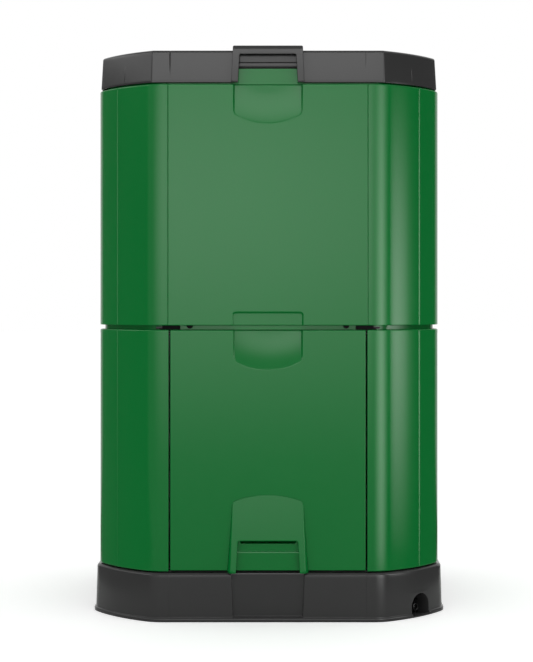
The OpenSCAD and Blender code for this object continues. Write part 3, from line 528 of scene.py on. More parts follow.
print("the scoop is", round(float(scoop_depth(0.0, 0.0, 0.0)) / MM, 1), "mm deep at its top")


# %% Fixed upper panels
lo_panel, hi_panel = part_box("front_panel_shell")


def panel_depth(x, z):
    """The scoop at the top and the shallow recess at the foot, which lets the lower scoop run on."""
    foot = lo_panel[2]
    recess = inside_box(x, z, SCOOP_HALF + 1.8 * MM, foot - 20 * MM, foot + RECESS_H, 7 * MM)
    return scoop_depth(x, z, hi_panel[2]) + RECESS_DEPTH * smooth((recess + 0.5 * MM) / (3.6 * MM))


SCOOP_LINES = [(-77 * MM, -60 * MM, 0.5 * MM), (60 * MM, 77 * MM, 0.5 * MM), (-60 * MM, 60 * MM, 4 * MM)]
panel_z = [
    (hi_panel[2] - 90 * MM, hi_panel[2], 0.9 * MM),
    (lo_panel[2], lo_panel[2] + 36 * MM, 0.7 * MM),
]
for label, turned in (("front", False), ("back", True)):
    panel = slab(f"{label}_panel", f"{label}_panel_shell", panel_depth, SCOOP_LINES, panel_z, turned)
    dress(panel, "bin", "green_plastic", f"{label}_panel_shell")

# %% [markdown]
# The doors are the same kind of slab. Under the bar of the handle the face steps back over a lip to a green
# shelf, and behind the bar a finger pocket goes deep into the foam. In the height field both are soft steps
# of the depth, which costs no cut and no extra piece.

# %% Doors
_, hi_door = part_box("front_door_shell")
lo_grip, hi_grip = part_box("front_door_handle")
POCKET_Z = float(lo_grip[2]) + 43 * MM
POCKET_H = 88 * MM
POCKET_HALF = 67 * MM
POCKET_DEPTH = 25 * MM
POCKET_STEP = 2.6 * MM
POCKET_DEEP = 58.5 * MM
POCKET_SHELF = 16 * MM
LIP_ROUND = 0.35 * MM
LIP_WIDTH = 2.6 * MM


def door_depth(x, z):
    """The scoop at the top, and the pocket: a step at its lip, an upright shelf, and a steep drop to its full
    depth."""
    pocket = inside_box(x, z, POCKET_HALF, POCKET_Z, POCKET_Z + POCKET_H, 5 * MM)
    step = LIP_ROUND * smooth((pocket + LIP_WIDTH) / LIP_WIDTH)
    step = step + (POCKET_STEP - LIP_ROUND) * smooth(pocket / (1.8 * MM))
    drop = (POCKET_DEPTH - POCKET_STEP) * smooth((z - POCKET_Z - POCKET_SHELF) / (5 * MM))
    deep = np.minimum(POCKET_DEEP - np.abs(x), POCKET_Z + POCKET_H - z)
    return scoop_depth(x, z, hi_door[2]) + step + drop * smooth(deep / (5 * MM))


door_z = [
    (hi_door[2] - 90 * MM, hi_door[2], 0.9 * MM),
    (POCKET_Z - 3 * MM, POCKET_Z + 3 * MM, 0.3 * MM),
    (POCKET_Z + POCKET_SHELF - MM, POCKET_Z + POCKET_SHELF + 6 * MM, 0.6 * MM),
    (POCKET_Z + POCKET_H - 9 * MM, POCKET_Z + POCKET_H + 5 * MM, 0.8 * MM),
]
door_x = SCOOP_LINES + [(-60 * MM, -52 * MM, 0.8 * MM), (52 * MM, 60 * MM, 0.8 * MM)]
for label, turned in (("front", False), ("back", True)):
    door = slab(f"{label}_door", f"{label}_door_shell", door_depth, door_x, door_z, turned)
    dress(door, f"{label}_door", "green_plastic", f"{label}_door_shell")

# %% [markdown]
# A door handle is a wedge bent into an arch: it starts flush with the door at its crown and stands out at its
# foot, where two legs frame the hand opening. The grid runs along the arch; across it, a section climbs the
# sloped flank, crosses the face and drops into the opening.

# %% Arched handles
HANDLE_HALF = 72.5 * MM
HANDLE_FLARE = 5 * MM
HANDLE_FLANK = 7 * MM
HANDLE_PROUD = -BODY_HALF - float(lo_grip[1])
HANDLE_EDGE = 0.8 * MM
HANDLE_ARCH = 14 * MM
HANDLE_BAR = 80 * MM
HANDLE_LEG = 10.5 * MM


def rounded_path(corners, radii, counts, arc=7):
    """A path through corner points, each inner corner replaced by an arc that is tangent to both legs.
    counts gives the points on each straight stretch."""
    corners = [np.array(c, float) for c in corners]
    starts, ends, arcs = [corners[0]], [], []
    for a, b, c, r in zip(corners, corners[1:], corners[2:], radii):
        u, v = (a - b) / np.linalg.norm(a - b), (c - b) / np.linalg.norm(c - b)
        half = math.acos(float(np.clip(u @ v, -1, 1))) / 2
        reach = r / math.tan(half)
        middle = b + (u + v) / np.linalg.norm(u + v) * r / math.sin(half)
        first, last = b + u * reach - middle, b + v * reach - middle
        turn = np.linspace(0, 1, arc + 2)[1:-1, None]
        sweep = first * (1 - turn) + last * turn
        arcs.append(middle + sweep / np.linalg.norm(sweep, axis=1, keepdims=True) * r)
        ends.append(b + u * reach)
        starts.append(b + v * reach)
    ends.append(corners[-1])
    out = []
    for k, n in enumerate(counts):
        out.append(starts[k] + (ends[k] - starts[k]) * np.linspace(0, 1, n)[:, None])
        if k < len(arcs):
            out.append(arcs[k])
    return np.vstack(out)


def side_normals(path):
    """Unit vectors to the left of a path, from the middle difference of its points."""
    along = np.gradient(path, axis=0)
    left = np.stack([-along[:, 1], along[:, 0]], -1)
    return left / np.linalg.norm(left, axis=1, keepdims=True)


def door_handle(name, turned):
    """Rows across the section: each has a place between the outer and the inner path and a share of the
    height. The height grows from the edge at the crown to the full amount at the foot."""
    z0, z1 = float(lo_grip[2]), float(hi_grip[2])
    shoulder = z1 - HANDLE_ARCH
    bar = shoulder - HANDLE_BAR
    foot = HANDLE_HALF + HANDLE_FLARE
    ends = [(-foot, z0), (-HANDLE_HALF, shoulder), (HANDLE_HALF, shoulder), (foot, z0)]
    outer = rounded_path(ends, [7 * MM] * 2, (24, 25, 24))
    rise = HANDLE_ARCH * (1 - (outer[:, 0] / HANDLE_HALF) ** 2)
    outer[:, 1] += np.where(outer[:, 1] > shoulder - 8 * MM, np.maximum(rise, 0), 0)
    leg_top, leg_foot = HANDLE_HALF - HANDLE_LEG, foot - HANDLE_LEG - MM
    ends = [(-leg_foot, z0), (-leg_top, bar), (leg_top, bar), (leg_foot, z0)]
    inner = rounded_path(ends, [4 * MM] * 2, (24, 25, 24))
    flank = [(0, 1.0), (0.3, 0.72), (0.6, 0.45), (0.8, 0.27)]
    flank += [(0.92, 0.12), (0.98, -0.02), (1, -0.16), (1, -0.4)]
    drop = [(1, 1.8), (0.985, 0.9), (0.95, 0.35), (0.88, 0.06), (0.78, 0), (0, 0)]
    out_n, in_n = side_normals(outer), side_normals(inner)

    def row(plan, share):
        high = HANDLE_EDGE + (HANDLE_PROUD - HANDLE_EDGE) * np.clip((z1 - plan[:, 1]) / (z1 - z0), 0, 1)
        return np.stack([plan[:, 0], -BODY_HALF - share * high, np.maximum(plan[:, 1], z0)], -1)

    lean = (HANDLE_EDGE + (HANDLE_PROUD - HANDLE_EDGE) * (z1 - outer[:, 1:]) / (z1 - z0)) / HANDLE_PROUD
    rows = [row(outer + out_n * HANDLE_FLANK * spread * lean * (1, 0.4), share) for share, spread in flank]
    rows += [row(outer * (1 - t) + inner * t, 1) for t in (0.3, 0.5, 0.7)]
    rows.append(row(inner + in_n * 2.6 * MM, 1))
    rows += [row(inner + in_n * shift * MM, share) for share, shift in drop]
    grid = np.array(rows).transpose(1, 0, 2)
    return loft(name, grid * (-1, -1, 1) if turned else grid)


for label, turned in (("front", False), ("back", True)):
    grip = door_handle(f"{label}_door_grip", turned)
    dress(grip, f"{label}_door", "green_plastic", f"{label}_door_handle")

# %% [markdown]
# The lid is a tray turned upside down. Its outline is swept along one closed profile: out from the crown,
# over the rounded edge, down the skirt and up again inside. Where the hand reaches in, the skirt's lower
# edge is drawn up to just under the bar of the grip, which leaves an opening without cutting the surface.

# %% Lid
lo_lid, hi_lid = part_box("lid_shell")
lo_bar, hi_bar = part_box("lid_handle")
LID_HALF = float(hi_lid[0])
LID = (LID_HALF, 117.5 * MM, 9 * MM, 12 * MM)
LID_DRAFT = 3.5 * MM
LID_EDGE = 6 * MM
LID_SKIN = 3 * MM
LID_CROWN = 2.5 * MM
LID_Z = float(lo_lid[2])
LID_TOP = float(hi_lid[2]) - LID_CROWN
GRIP_TOP = float(hi_bar[2])
BAR_Z = GRIP_TOP - 18 * MM
NOTCH_HALF = 67 * MM
GROOVE_X = 203 * MM
CREASE_X = 302 * MM
CREASE_RISE = 0.7 * MM
LEFT_GROOVE, RIGHT_GROOVE = 1.6 * MM, 0.5 * MM


def ridge(distance, width):
    """A narrow smooth bump, 1 in the middle."""
    return np.exp(-((distance / width) ** 2))


def lid_piece():
    """Rows: profile points of (inset, height); columns: the stations. The grooves and the corner creases
    move the points along the outline's normal, by a narrow bump whose height changes up the skirt."""
    fine = np.arange(-2.4, 2.41, 0.4) * MM
    edge = np.arange(-3, 3, 0.5) * MM
    front = [s * NOTCH_HALF + edge for s in (-1, 1)] + [s * GROOVE_X + fine for s in (-1, 1)]
    front = np.concatenate(front + [np.linspace(-60, 60, 17) * MM])
    slant = ROOT * CREASE_X - corner_middle(LID)
    bow = np.linspace(-BOW_REACH, BOW_REACH, 9)
    slants = {f: np.concatenate([bow, s * slant + fine]) for f, s in ((5, -1), (7, 1))}
    where = stations({6: front, 1: bow, 3: bow, **slants}, 8)
    face, place = where[0], np.nan_to_num(where[1], nan=1.0)
    curve = quarter(LID_EDGE, 8)
    outside = [(LID_DRAFT + i, LID_TOP - LID_EDGE + r) for i, r in curve[::-1]]
    lean = LID_DRAFT / (LID_TOP - LID_EDGE - LID_Z)
    outside += [(lean * (z - LID_Z), z) for z in np.linspace(LID_TOP - LID_EDGE, LID_Z + 1.2 * MM, 18)[1:]]
    lip = [(0.2 * MM, LID_Z + 0.4 * MM), (0.9 * MM, LID_Z)]
    lip += [(LID_SKIN - 0.8 * MM, LID_Z), (LID_SKIN, LID_Z + 0.8 * MM)]
    wall_in, under_top = LID_SKIN + LID_DRAFT, LID_TOP - LID_SKIN
    inside = [(wall_in, under_top - 2 * MM), (wall_in + 2 * MM, under_top)]
    notch = (face == 6) * smooth((NOTCH_HALF + 1.5 * MM - np.abs(place)) / (3 * MM)) * (BAR_Z - MM - LID_Z)
    left, right = (ridge(place - s * GROOVE_X, 0.9 * MM) * (face == 6) for s in (-1, 1))
    slants = ridge(place + slant, 0.8 * MM) * (face == 5) + ridge(place - slant, 0.8 * MM) * (face == 7)
    rows = []
    for inset, z in outside + lip + inside:
        plan, normals = ring(where, LID, inset)
        height = z + notch * np.clip((BAR_Z - z) / (BAR_Z - LID_Z), 0, 1)
        if LID_Z + 2 * MM < z and inset < LID_DRAFT + LID_EDGE + MM:
            deep = LEFT_GROOVE * left * smooth((z - LID_Z - 14 * MM) / (30 * MM))
            deep = deep + RIGHT_GROOVE * right * smooth((z - LID_Z - 30 * MM) / (12 * MM))
            band = smooth((z - LID_Z - 6 * MM) / (6 * MM)) * smooth((LID_Z + 38 * MM - z) / (6 * MM))
            plan = plan + normals * (CREASE_RISE * slants * band - deep)[:, None]
        rows.append(raised(plan, height))
    rows = np.array(rows)
    dome = ((0.4, 1.0), (0.55, 0.86), (0.7, 0.6), (0.85, 0.3), (0.985, 0.02))
    crown = [raised(rows[0][:, :2] * k, LID_TOP + LID_CROWN * h) for k, h in dome]
    return loft("lid_cover", np.concatenate([np.array(crown), rows]))


dress(lid_piece(), "lid", "grey_lid_plastic", "lid_shell")

# %% [markdown]
# The grip of the lid is a frame of the same kind as a door handle. Its bar leans back at the top, which
# gives the narrow highlight, and behind it a ramp runs down to the crown.

# %% Lid grip
GRIP_HALF = 72.3 * MM
GRIP_FLARE = 3.4 * MM
GRIP_LEG = 13.9 * MM
GRIP_R = 3 * MM
GRIP_FRONT = float(lo_bar[1])
GRIP_ROOT = 36 * MM


def grip_frame():
    """Rows across the frame: back along the outer side, over its edge, the face, the opening's edge and
    back."""
    foot = GRIP_HALF + GRIP_FLARE
    ends = [(-foot, LID_Z), (-GRIP_HALF, GRIP_TOP), (GRIP_HALF, GRIP_TOP), (foot, LID_Z)]
    outer = rounded_path(ends, [GRIP_R] * 2, (21, 25, 21))
    leg_top, leg_foot = GRIP_HALF - GRIP_LEG, foot - GRIP_LEG
    ends = [(-leg_foot, LID_Z), (-leg_top, BAR_Z), (leg_top, BAR_Z), (leg_foot, LID_Z)]
    inner = rounded_path(ends, [GRIP_R] * 2, (21, 25, 21))
    out_n, in_n = side_normals(outer), side_normals(inner)
    heights = [LID_Z] + [GRIP_TOP - drop * MM for drop in (8, 6, 4, 0)]
    fronts = [GRIP_FRONT + lean * MM for lean in (0, 1.3, 1.9, 2.9, 5)]

    def row(plan, back=0.0, y=None):
        front = np.interp(plan[:, 1], heights, fronts) + back
        return np.stack([plan[:, 0], front if y is None else np.full(len(plan), y), plan[:, 1]], -1)

    edge = [(0, 1.2), (0.1, 0.65), (0.35, 0.3), (0.7, 0.1), (1.2, 0)]
    rows = [row(outer, y=-LID_HALF + 6 * MM)]
    rows += [row(outer - out_n * i * MM, back * MM) for i, back in edge]
    share = [outer * (1 - t) + inner * t for t in (0.2, 0.35, 0.5, 0.65, 0.8)]
    rows += [row(plan) for plan in share]
    rows += [row(inner + in_n * i * MM, back * MM) for i, back in edge[::-1]]
    rows += [row(inner, y=-LID_HALF + 2.5 * MM)]
    return np.array(rows).transpose(1, 0, 2)


def grip_ramp():
    """A wedge behind the bar: its side outline, drawn in at both ends."""
    y = -LID_HALF + np.array([3, 3, 11.4, 12.6, GRIP_ROOT / MM - 0.6, GRIP_ROOT / MM]) * MM
    sunk, level = LID_TOP - 4 * MM, GRIP_TOP - 0.05 * MM
    z = np.array([sunk, level, level, GRIP_TOP - 0.5 * MM, LID_TOP + 1.4 * MM, sunk])
    ends = [(-GRIP_HALF + 0.2 * MM, 0.6), (-GRIP_HALF + 0.4 * MM, 0.2), (-GRIP_HALF + 1.0 * MM, 0)]
    ends += [(-x, inset) for x, inset in ends[::-1]]
    return np.array([np.stack([np.full(6, x), y, z - inset * MM], -1) for x, inset in ends])


dress(joined("lid_grip", [grip_frame(), grip_ramp()]), "lid", "grey_lid_plastic", "lid_handle")

# %% [markdown]
# Inside the lid sits a second tray: a flange that presses on the seal, a shadow groove, and an upright
# wall. All three show through the hand opening. The rim below it and the band in the seam are closed
# strips: their profile goes round as well.

# %% Lid lining, rim and middle band
lo_lining, hi_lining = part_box("lid_liner")
LINING_HALF = float(hi_lining[0])
LINING_Z = float(lo_lining[2])


def even_stations(lines, steps):
    """Stations with evenly spaced lines over the bowed corner faces and none on the sides."""
    bow = np.linspace(-BOW_REACH, BOW_REACH, lines)
    return stations({f: bow for f in CUT_FACES}, steps)


def lining_piece():
    """Profile of (inset, height over the foot): the underside, the flange, the groove, the wall and the
    inside."""
    profile = [(60, 0), (1, 0), (0.3, 0.3), (0, 1), (0, 7.6), (0.3, 8.3), (1, 8.6), (3, 8.6)]
    profile += [(3, 9.4), (1, 9.4), (0.6, 9.6), (0.4, 10.4), (0.4, 11.4)]
    top = (LID_TOP - LID_SKIN - 3 * MM - LINING_Z) / MM
    profile += [(0.4, top - 2), (0.4, top - 1), (0.7, top - 0.3), (1.4, top), (9, top), (9, 3), (60, 3)]
    where = even_stations(9, 6)
    deep = LID_HALF - LINING_HALF
    rows = [raised(ring(where, LID, deep + inset * MM)[0], LINING_Z + rise * MM) for inset, rise in profile]
    return loft("lid_lining", np.array(rows))


def strip(name, node, profile):
    """A closed strip that follows the tiers' outline. Its profile of (inset in mm from the wall's face,
    height in metres) is joined end to end: the faces of the last row lead back to the first."""
    where = even_stations(9, 8)
    rows = [raised(ring(where, BODY, inset * MM)[0], z) for inset, z in profile]
    rows = np.array(rows + rows[:1])
    count = (len(rows) - 1) * rows.shape[1]
    return make_piece(name, rows.reshape(-1, 3)[:count], quads(*rows.shape[:2]) % count)


dress(lining_piece(), "lid", "grey_lid_plastic", "lid_liner")
z_low, z_high = (float(v[2]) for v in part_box("mid_band"))
band_profile = [(10, z_low), (10, z_low + 0.4 * MM), (10, z_high - 0.4 * MM)]
band_profile += [(10, z_high), (45, z_high), (45, z_low)]
dress(strip("middle_band", "mid_band", band_profile), "bin", "green_plastic", "mid_band")
z_low, z_high = (float(v[2]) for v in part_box("top_rim"))
foot_top = z_low + 2 * MM
rim_profile = [(12.6, z_low), (12.6, z_low + 0.5 * MM), (12.6, z_high - 2 * MM), (12.6, z_high - MM)]
rim_profile += [(12.9, z_high - 0.3 * MM), (13.6, z_high)]
rim_profile += [(20, z_high), (20.7, z_high - 0.3 * MM), (21, z_high - MM)]
rim_profile += [(21, foot_top), (44.5, foot_top), (45, foot_top - 0.5 * MM), (45, z_low)]
dress(strip("top_strip", "top_rim", rim_profile), "bin", "green_plastic", "top_rim")

# %% [markdown]
# The base is swept in the same way, and its profile is longer: up the flared foot and the skirt, over the
# bright bevel, across the seat that lifts the walls, down into the reservoir and over its floor. In front and
# behind, a flat field lies a little deeper, and under each door handle the skirt steps back for the fingers.
#
# The tap's niche is a hole in that surface. A window of faces is left out of the grid; a collar leads from
# its border to the arch with one quad per border edge, and the arch is then swept inwards and closed.

# %% Base
_, hi_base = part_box("base_reservoir")
FOOT_HALF = float(hi_base[0])
BASE_HALF = 371.5 * MM
SHOULDER_HALF = 369 * MM
BASE = (BASE_HALF, 136.5 * MM, 60 * MM, 14 * MM)
FOOT_H = 8 * MM
BASE_TOP = float(hi_base[2])
SHOULDER_Z = BASE_TOP - 3 * MM
BEVEL = 4.5 * MM
TOE_DEPTH = 5 * MM
FIELD_X = 204 * MM
FIELD_DEPTH = 0.8 * MM
SEAT_IN = 14 * MM
GRATE_HALF = float(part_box("floor_grate")[1][0])
TAP_FACE = (2 * BASE_HALF - BASE[1]) / ROOT
TAP_SHIFT = 17.3 * MM
NICHE_SHIFT = 10.3 * MM
NICHE_R = 27.75 * MM
NICHE_Z = (3 * MM, 20.25 * MM)
NICHE_DEPTH = 38 * MM
NICHE_STEPS = (
    (0.8, 0), (0.35, 0.12), (0.1, 0.4), (0, 0.9), (0, 9), (0, 22), (0, 37.2), (-0.2, 37.8), (-0.8, 38)
)
WINDOW = 31 * MM
WINDOW_Z = (0.8 * MM, 51.2 * MM)
REBATE_Z, LEDGE_Z = BASE_TOP - 6 * MM, BASE_TOP - 11 * MM
TANK = (330 * MM, 112.8 * MM, 3 * MM, 0)
TANK_FLOOR = 6 * MM


def outside_rows():
    """Half width and height of the base's outer face, from the ground to the top of the bevel."""
    foot = [(FOOT_HALF - 1.5 * MM, 0.0), (FOOT_HALF - 0.5 * MM, 0.4 * MM)]
    foot += [(FOOT_HALF - 0.2 * MM, WINDOW_Z[0])]
    foot += [(FOOT_HALF, z * MM) for z in (1.5, 3, 4.6, 6)]
    foot += [(FOOT_HALF - 0.5 * MM, 7.2 * MM), (FOOT_HALF - 1.6 * MM, FOOT_H)]
    foot += [(BASE_HALF + 0.5 * MM, FOOT_H + 0.5 * MM), (BASE_HALF, FOOT_H + 1.2 * MM)]
    low, high = FOOT_H + 1.2 * MM, SHOULDER_Z - BEVEL - MM
    heights = np.concatenate([
        np.array([9.7, 10.3, 11, 12, 14]) * MM,
        np.linspace(16.6 * MM, WINDOW_Z[1], 14),
        np.linspace(WINDOW_Z[1], high, 9)[1:],
    ])
    skirt = [(BASE_HALF - (BASE_HALF - SHOULDER_HALF) * (z - low) / (high - low), z) for z in heights]
    bevel = [(0.15, 4.6), (0.7, 3.6), (3.6, 0.7), (4.5, 0.15), (5.5, 0)]
    return foot + skirt + [(SHOULDER_HALF - i * MM, SHOULDER_Z - drop * MM) for i, drop in bevel]


def base_ring(where, half, z):
    """A ring of the base's outer face with its field and its toe hollow pressed in."""
    plan, normals = ring(where, BASE, BASE_HALF - half)
    x = np.abs(plan[:, 0])
    level = (where[0] % 4 == 2) & ~np.isnan(where[1])
    field = FIELD_DEPTH * smooth((FIELD_X + 0.3 * MM - x) / (0.6 * MM)) * smooth((z - 9.2 * MM) / (0.5 * MM))
    wide = 71.8 * MM + 3.8 * MM * (z - FOOT_H) / (SHOULDER_Z - FOOT_H)
    hollow = smooth((wide + 0.8 * MM - x) / (1.8 * MM)) * smooth((z - 9.2 * MM) / (1.6 * MM))
    toe = np.maximum(half - FIELD_DEPTH - SHOULDER_HALF + TOE_DEPTH, 0) * hollow
    return raised(plan - normals * (level * (field + toe))[:, None], z)


def at_tap(points, shift=TAP_SHIFT):
    """From the tap's own axes (outwards, along the face, up) to the bin's."""
    x, y, z = np.moveaxis(np.asarray(points, float), -1, 0)
    x, y = x + TAP_FACE, y + shift
    return np.stack([(x + y) / ROOT, (y - x) / ROOT, z], -1)


def arch(border, grow):
    """The niche's outline, one point for each border point (along, z): below the round part at the same
    height, in the round part on the ray from its middle."""
    along, z = border.T
    low, middle = NICHE_Z
    r = NICHE_R + grow
    reach = np.maximum(np.hypot(along, z - middle), MM)
    side_z = np.where(z < FOOT_H, low + (z - WINDOW_Z[0]) * (FOOT_H - low) / (FOOT_H - WINDOW_Z[0]), z)
    sides = np.stack([np.sign(along) * r, side_z], -1)
    round_part = np.stack([along * r / reach, middle + (z - middle) * r / reach], -1)
    foot = np.stack([along * r / WINDOW, np.full(len(z), low - grow)], -1)
    bottom = z < WINDOW_Z[0] + 0.1 * MM
    return np.where(bottom[:, None], foot, np.where((z > middle)[:, None], round_part, sides))


def window_border(where, heights):
    """Rows and columns of the grid points round the window, in order, and its first and last row and
    column."""
    r0, r1 = (int(np.argmin(np.abs(heights - z))) for z in WINDOW_Z)
    off = np.abs(np.nan_to_num(where[1], nan=1.0) - NICHE_SHIFT)
    inside = np.flatnonzero((where[0] == 7) & (off < WINDOW + MM))
    c0, c1 = int(inside[0]), int(inside[-1])
    up, over = np.arange(r0, r1 + 1), np.arange(c0, c1 + 1)
    rows = np.concatenate([np.full(len(over), r0), up[1:], np.full(len(over) - 1, r1), up[-2:0:-1]])
    cols = np.concatenate([over, np.full(len(up) - 1, c1), over[-2::-1], np.full(len(up) - 2, c0)])
    return rows, cols, (r0, r1, c0, c1)


def niche_rings(border, heights, halves):
    """The arch, swept inwards in steps of (growth, depth) in mm. Its mouth follows the bowed face: the
    depth is taken from a circle in plan and from the skirt's lean. Further in, a ring is flat."""
    core, bow_r = corner_arcs(BASE)[2:4]
    rings = []
    for grow, deep in NICHE_STEPS:
        shape = arch(border, grow * MM)
        out = core * ROOT + np.sqrt(bow_r ** 2 - (shape[:, 0] + NICHE_SHIFT) ** 2) - TAP_FACE
        face = np.interp(shape[:, 1], heights, halves) - BASE_HALF + out
        x = np.maximum(face - deep * MM, -NICHE_DEPTH) if deep < 2 else np.full(len(shape), -deep * MM)
        rings.append(at_tap(np.column_stack([x, shape]), NICHE_SHIFT))
    return np.array(rings)


def base_piece():
    """The swept grid, the window, the collar and the niche."""
    toe = np.concatenate([np.arange(64, 81.5, 0.7), [20, 40, 203.2, 203.7, 204.3, 204.8]]) * MM
    level = np.concatenate([-toe, [0], toe])
    bow = np.linspace(-70, 70, 11) * MM
    window = NICHE_SHIFT + np.linspace(-WINDOW, WINDOW, 21)
    beside = bow[np.abs(bow - NICHE_SHIFT) > WINDOW + 4 * MM]
    where = stations({1: bow, 2: level, 3: bow, 5: bow, 6: level, 7: np.concatenate([beside, window])}, 10)
    outer = outside_rows()
    rows = [base_ring(where, half, z) for half, z in outer]
    rebate, ledge = BODY_HALF - GRATE_HALF - 0.5 * MM, BODY_HALF - GRATE_HALF + 18 * MM
    seat = [(SEAT_IN - 0.6 * MM, SHOULDER_Z), (SEAT_IN, SHOULDER_Z + 0.6 * MM)]
    seat += [(SEAT_IN, BASE_TOP - 0.5 * MM), (SEAT_IN + 0.5 * MM, BASE_TOP)]
    seat += [(rebate, BASE_TOP), (rebate, REBATE_Z)]
    seat += [(ledge, REBATE_Z), (ledge, LEDGE_Z)]
    rows += [raised(ring(where, BODY, inset)[0], z) for inset, z in seat]
    tank = ring(where, TANK)[0]
    rows += [raised(tank * k, z) for k, z in ((1, LEDGE_Z), (1, TANK_FLOOR), (0.2, TANK_FLOOR))]
    rows = np.array(rows)
    count, cols = rows.shape[:2]
    halves, heights = np.array(outer).T
    ring_r, ring_c, (r0, r1, c0, c1) = window_border(where, heights)
    border = np.stack([where[1][ring_c] - NICHE_SHIFT, heights[ring_r]], -1)
    cavity = niche_rings(border, heights, halves)
    grid = quads(count, cols).reshape(count - 1, cols, 4)
    keep = np.ones((count - 1, cols), bool)
    keep[r0:r1, c0:c1] = False
    first, n = count * cols, len(border)
    edge, after = ring_r * cols + ring_c, np.roll(np.arange(n), -1)
    collar = np.stack([edge, edge[after], first + after, first + np.arange(n)], -1)
    faces = np.vstack([grid[keep], collar, quads(len(cavity), n) + first])
    last = first + (len(cavity) - 1) * n
    caps = [range(cols)[::-1], range((count - 1) * cols, count * cols), range(last, last + n)]
    return make_piece("base_tank", np.vstack([rows.reshape(-1, 3), cavity.reshape(-1, 3)]), faces, caps)


dress(base_piece(), "bin", "grey_base_plastic", "base_reservoir")

# %% [markdown]
# The small parts are turned or stamped. A turned one is a profile of (place along the axis, radius) swept
# round its axis. A stamped one is an outline moved inwards a little at its front edge, which rounds it.

# %% Turned and stamped forms
def turned_form(profile, middle, axis="x", steps=32):
    """Rings of a profile of (along, radius) round an axis through `middle`."""
    along, radius = np.array(profile, float).T
    a = np.linspace(0, 2 * math.pi, steps, endpoint=False)
    c, s = radius[:, None] * np.cos(a), radius[:, None] * np.sin(a)
    line = np.broadcast_to(along[:, None], c.shape)
    parts = {"x": (line, c, s), "y": (s, line, c), "z": (c, s, line)}[axis]
    return np.stack(parts, -1) + np.array(middle)


def stamped_form(shape, back, front, edge):
    """Rings (u, v, depth) of a closed anticlockwise outline: straight up from the back, then a quarter
    round."""
    shape = np.asarray(shape, float)
    along = np.roll(shape, -1, 0) - np.roll(shape, 1, 0)
    out = np.stack([along[:, 1], -along[:, 0]], -1) / np.linalg.norm(along, axis=1, keepdims=True)
    rise = [(0.0, 0.0)] + [(i, front - back - edge + r) for i, r in quarter(edge, 5)]
    return np.array([raised(shape - out * i, back + w) for i, w in rise])


def rounded_box(x0, x1, z0, z1, r, steps=5):
    """An anticlockwise rectangle with rounded corners."""
    a = np.radians(np.linspace(0, 90, steps + 1))
    corners = [(x1 - r, z0 + r, -90), (x1 - r, z1 - r, 0), (x0 + r, z1 - r, 90), (x0 + r, z0 + r, 180)]
    turns = [(x, z, a + np.radians(t)) for x, z, t in corners]
    return np.vstack([np.stack([x + r * np.cos(t), z + r * np.sin(t)], -1) for x, z, t in turns])


def on_front(rings, sign=1):
    """Turns (x, z, depth) rings into the frame: depth grows towards the viewer in front, or behind for
    sign -1."""
    x, z, depth = np.moveaxis(rings, -1, 0)
    return np.stack([x * sign, (-BODY_HALF - depth) * sign, z], -1)


print("a turned ring has", turned_form([(0, 1)], (0, 0, 0)).shape[1], "points")

# %% [markdown]
# The tap drains the liquid that gathers in the base. It stands in its niche: a stem runs through the tank's
# wall, a flange presses on the seal, and the barrel ends in a mouth for a hose. All that is one profile
# turned round one axis. The lever on top is stamped, and rides on its own body, because it turns.

# %% Tap
TAP_Z = 16 * MM
LEVER_X = -20 * MM


def tap_pieces():
    """The barrel with its flange and its hose bore, the post of the plug, and the lever with a tapered
    blade."""
    barrel = [(-52, 5.6), (-51.6, 6), (-36.4, 6), (-36.4, 10.6), (-36, 11), (-33.9, 11), (-33.5, 10.6)]
    barrel += [(-33.4, 8.9), (-33, 8.5), (-7, 8.5), (-6.3, 8.2), (-6, 7.5)]
    barrel += [(-6, 6.1), (-6.3, 5.6), (-7, 5.5), (-15, 5.5)]
    body = [at_tap(turned_form(np.array(barrel) * MM, (0, 0, TAP_Z)))]
    post = [(4, 5), (9.6, 5), (10.2, 4.8), (10.5, 4.2)]
    body.append(at_tap(turned_form(np.array(post) * MM + (TAP_Z, 0), (LEVER_X, 0, 0), "z")))
    a = np.radians(np.linspace(155, 385, 24))
    hub = np.stack([5.5 * np.cos(a), 5.5 * np.sin(a)], -1)
    b = np.radians(np.linspace(-10, 190, 14))
    tip = np.stack([2.5 * np.cos(b), 17 + 2.5 * np.sin(b)], -1)
    blade = stamped_form(np.vstack([hub, tip]) * MM, TAP_Z + 10.8 * MM, TAP_Z + 14.8 * MM, 0.7 * MM)
    stem = turned_form(np.array([(0.3, 3), (11, 3)]) * MM + (TAP_Z, 0), (LEVER_X, 0, 0), "z")
    lever = [at_tap(blade + (LEVER_X, 0, 0)), at_tap(stem)]
    return joined("tap_barrel", body), joined("tap_handle", lever)


barrel, handle = tap_pieces()
dress(barrel, "bin", "black_plastic", "tap_body")
dress(handle, "tap_lever", "black_plastic", "tap_lever")

# %% [markdown]
# Over each top corner of a door sits a black clip with a low tongue beside it, and inwards from it hangs a
# small half-round lug. They lie in the shadow of the seam, so they are plain stamped forms. The clips and
# lugs get a black that is darker and less glossy than the black plastic: this is painted shade of the seam.

# %% Clips and lugs of the seam
SEAM = (float(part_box("mid_band")[0][2]), float(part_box("mid_band")[1][2]))
CLIP_X = (182 * MM, 219 * MM, 232 * MM)
LUG_X, LUG_R = 162 * MM, 6.3 * MM
SEAM_BACK = -17.9 * MM


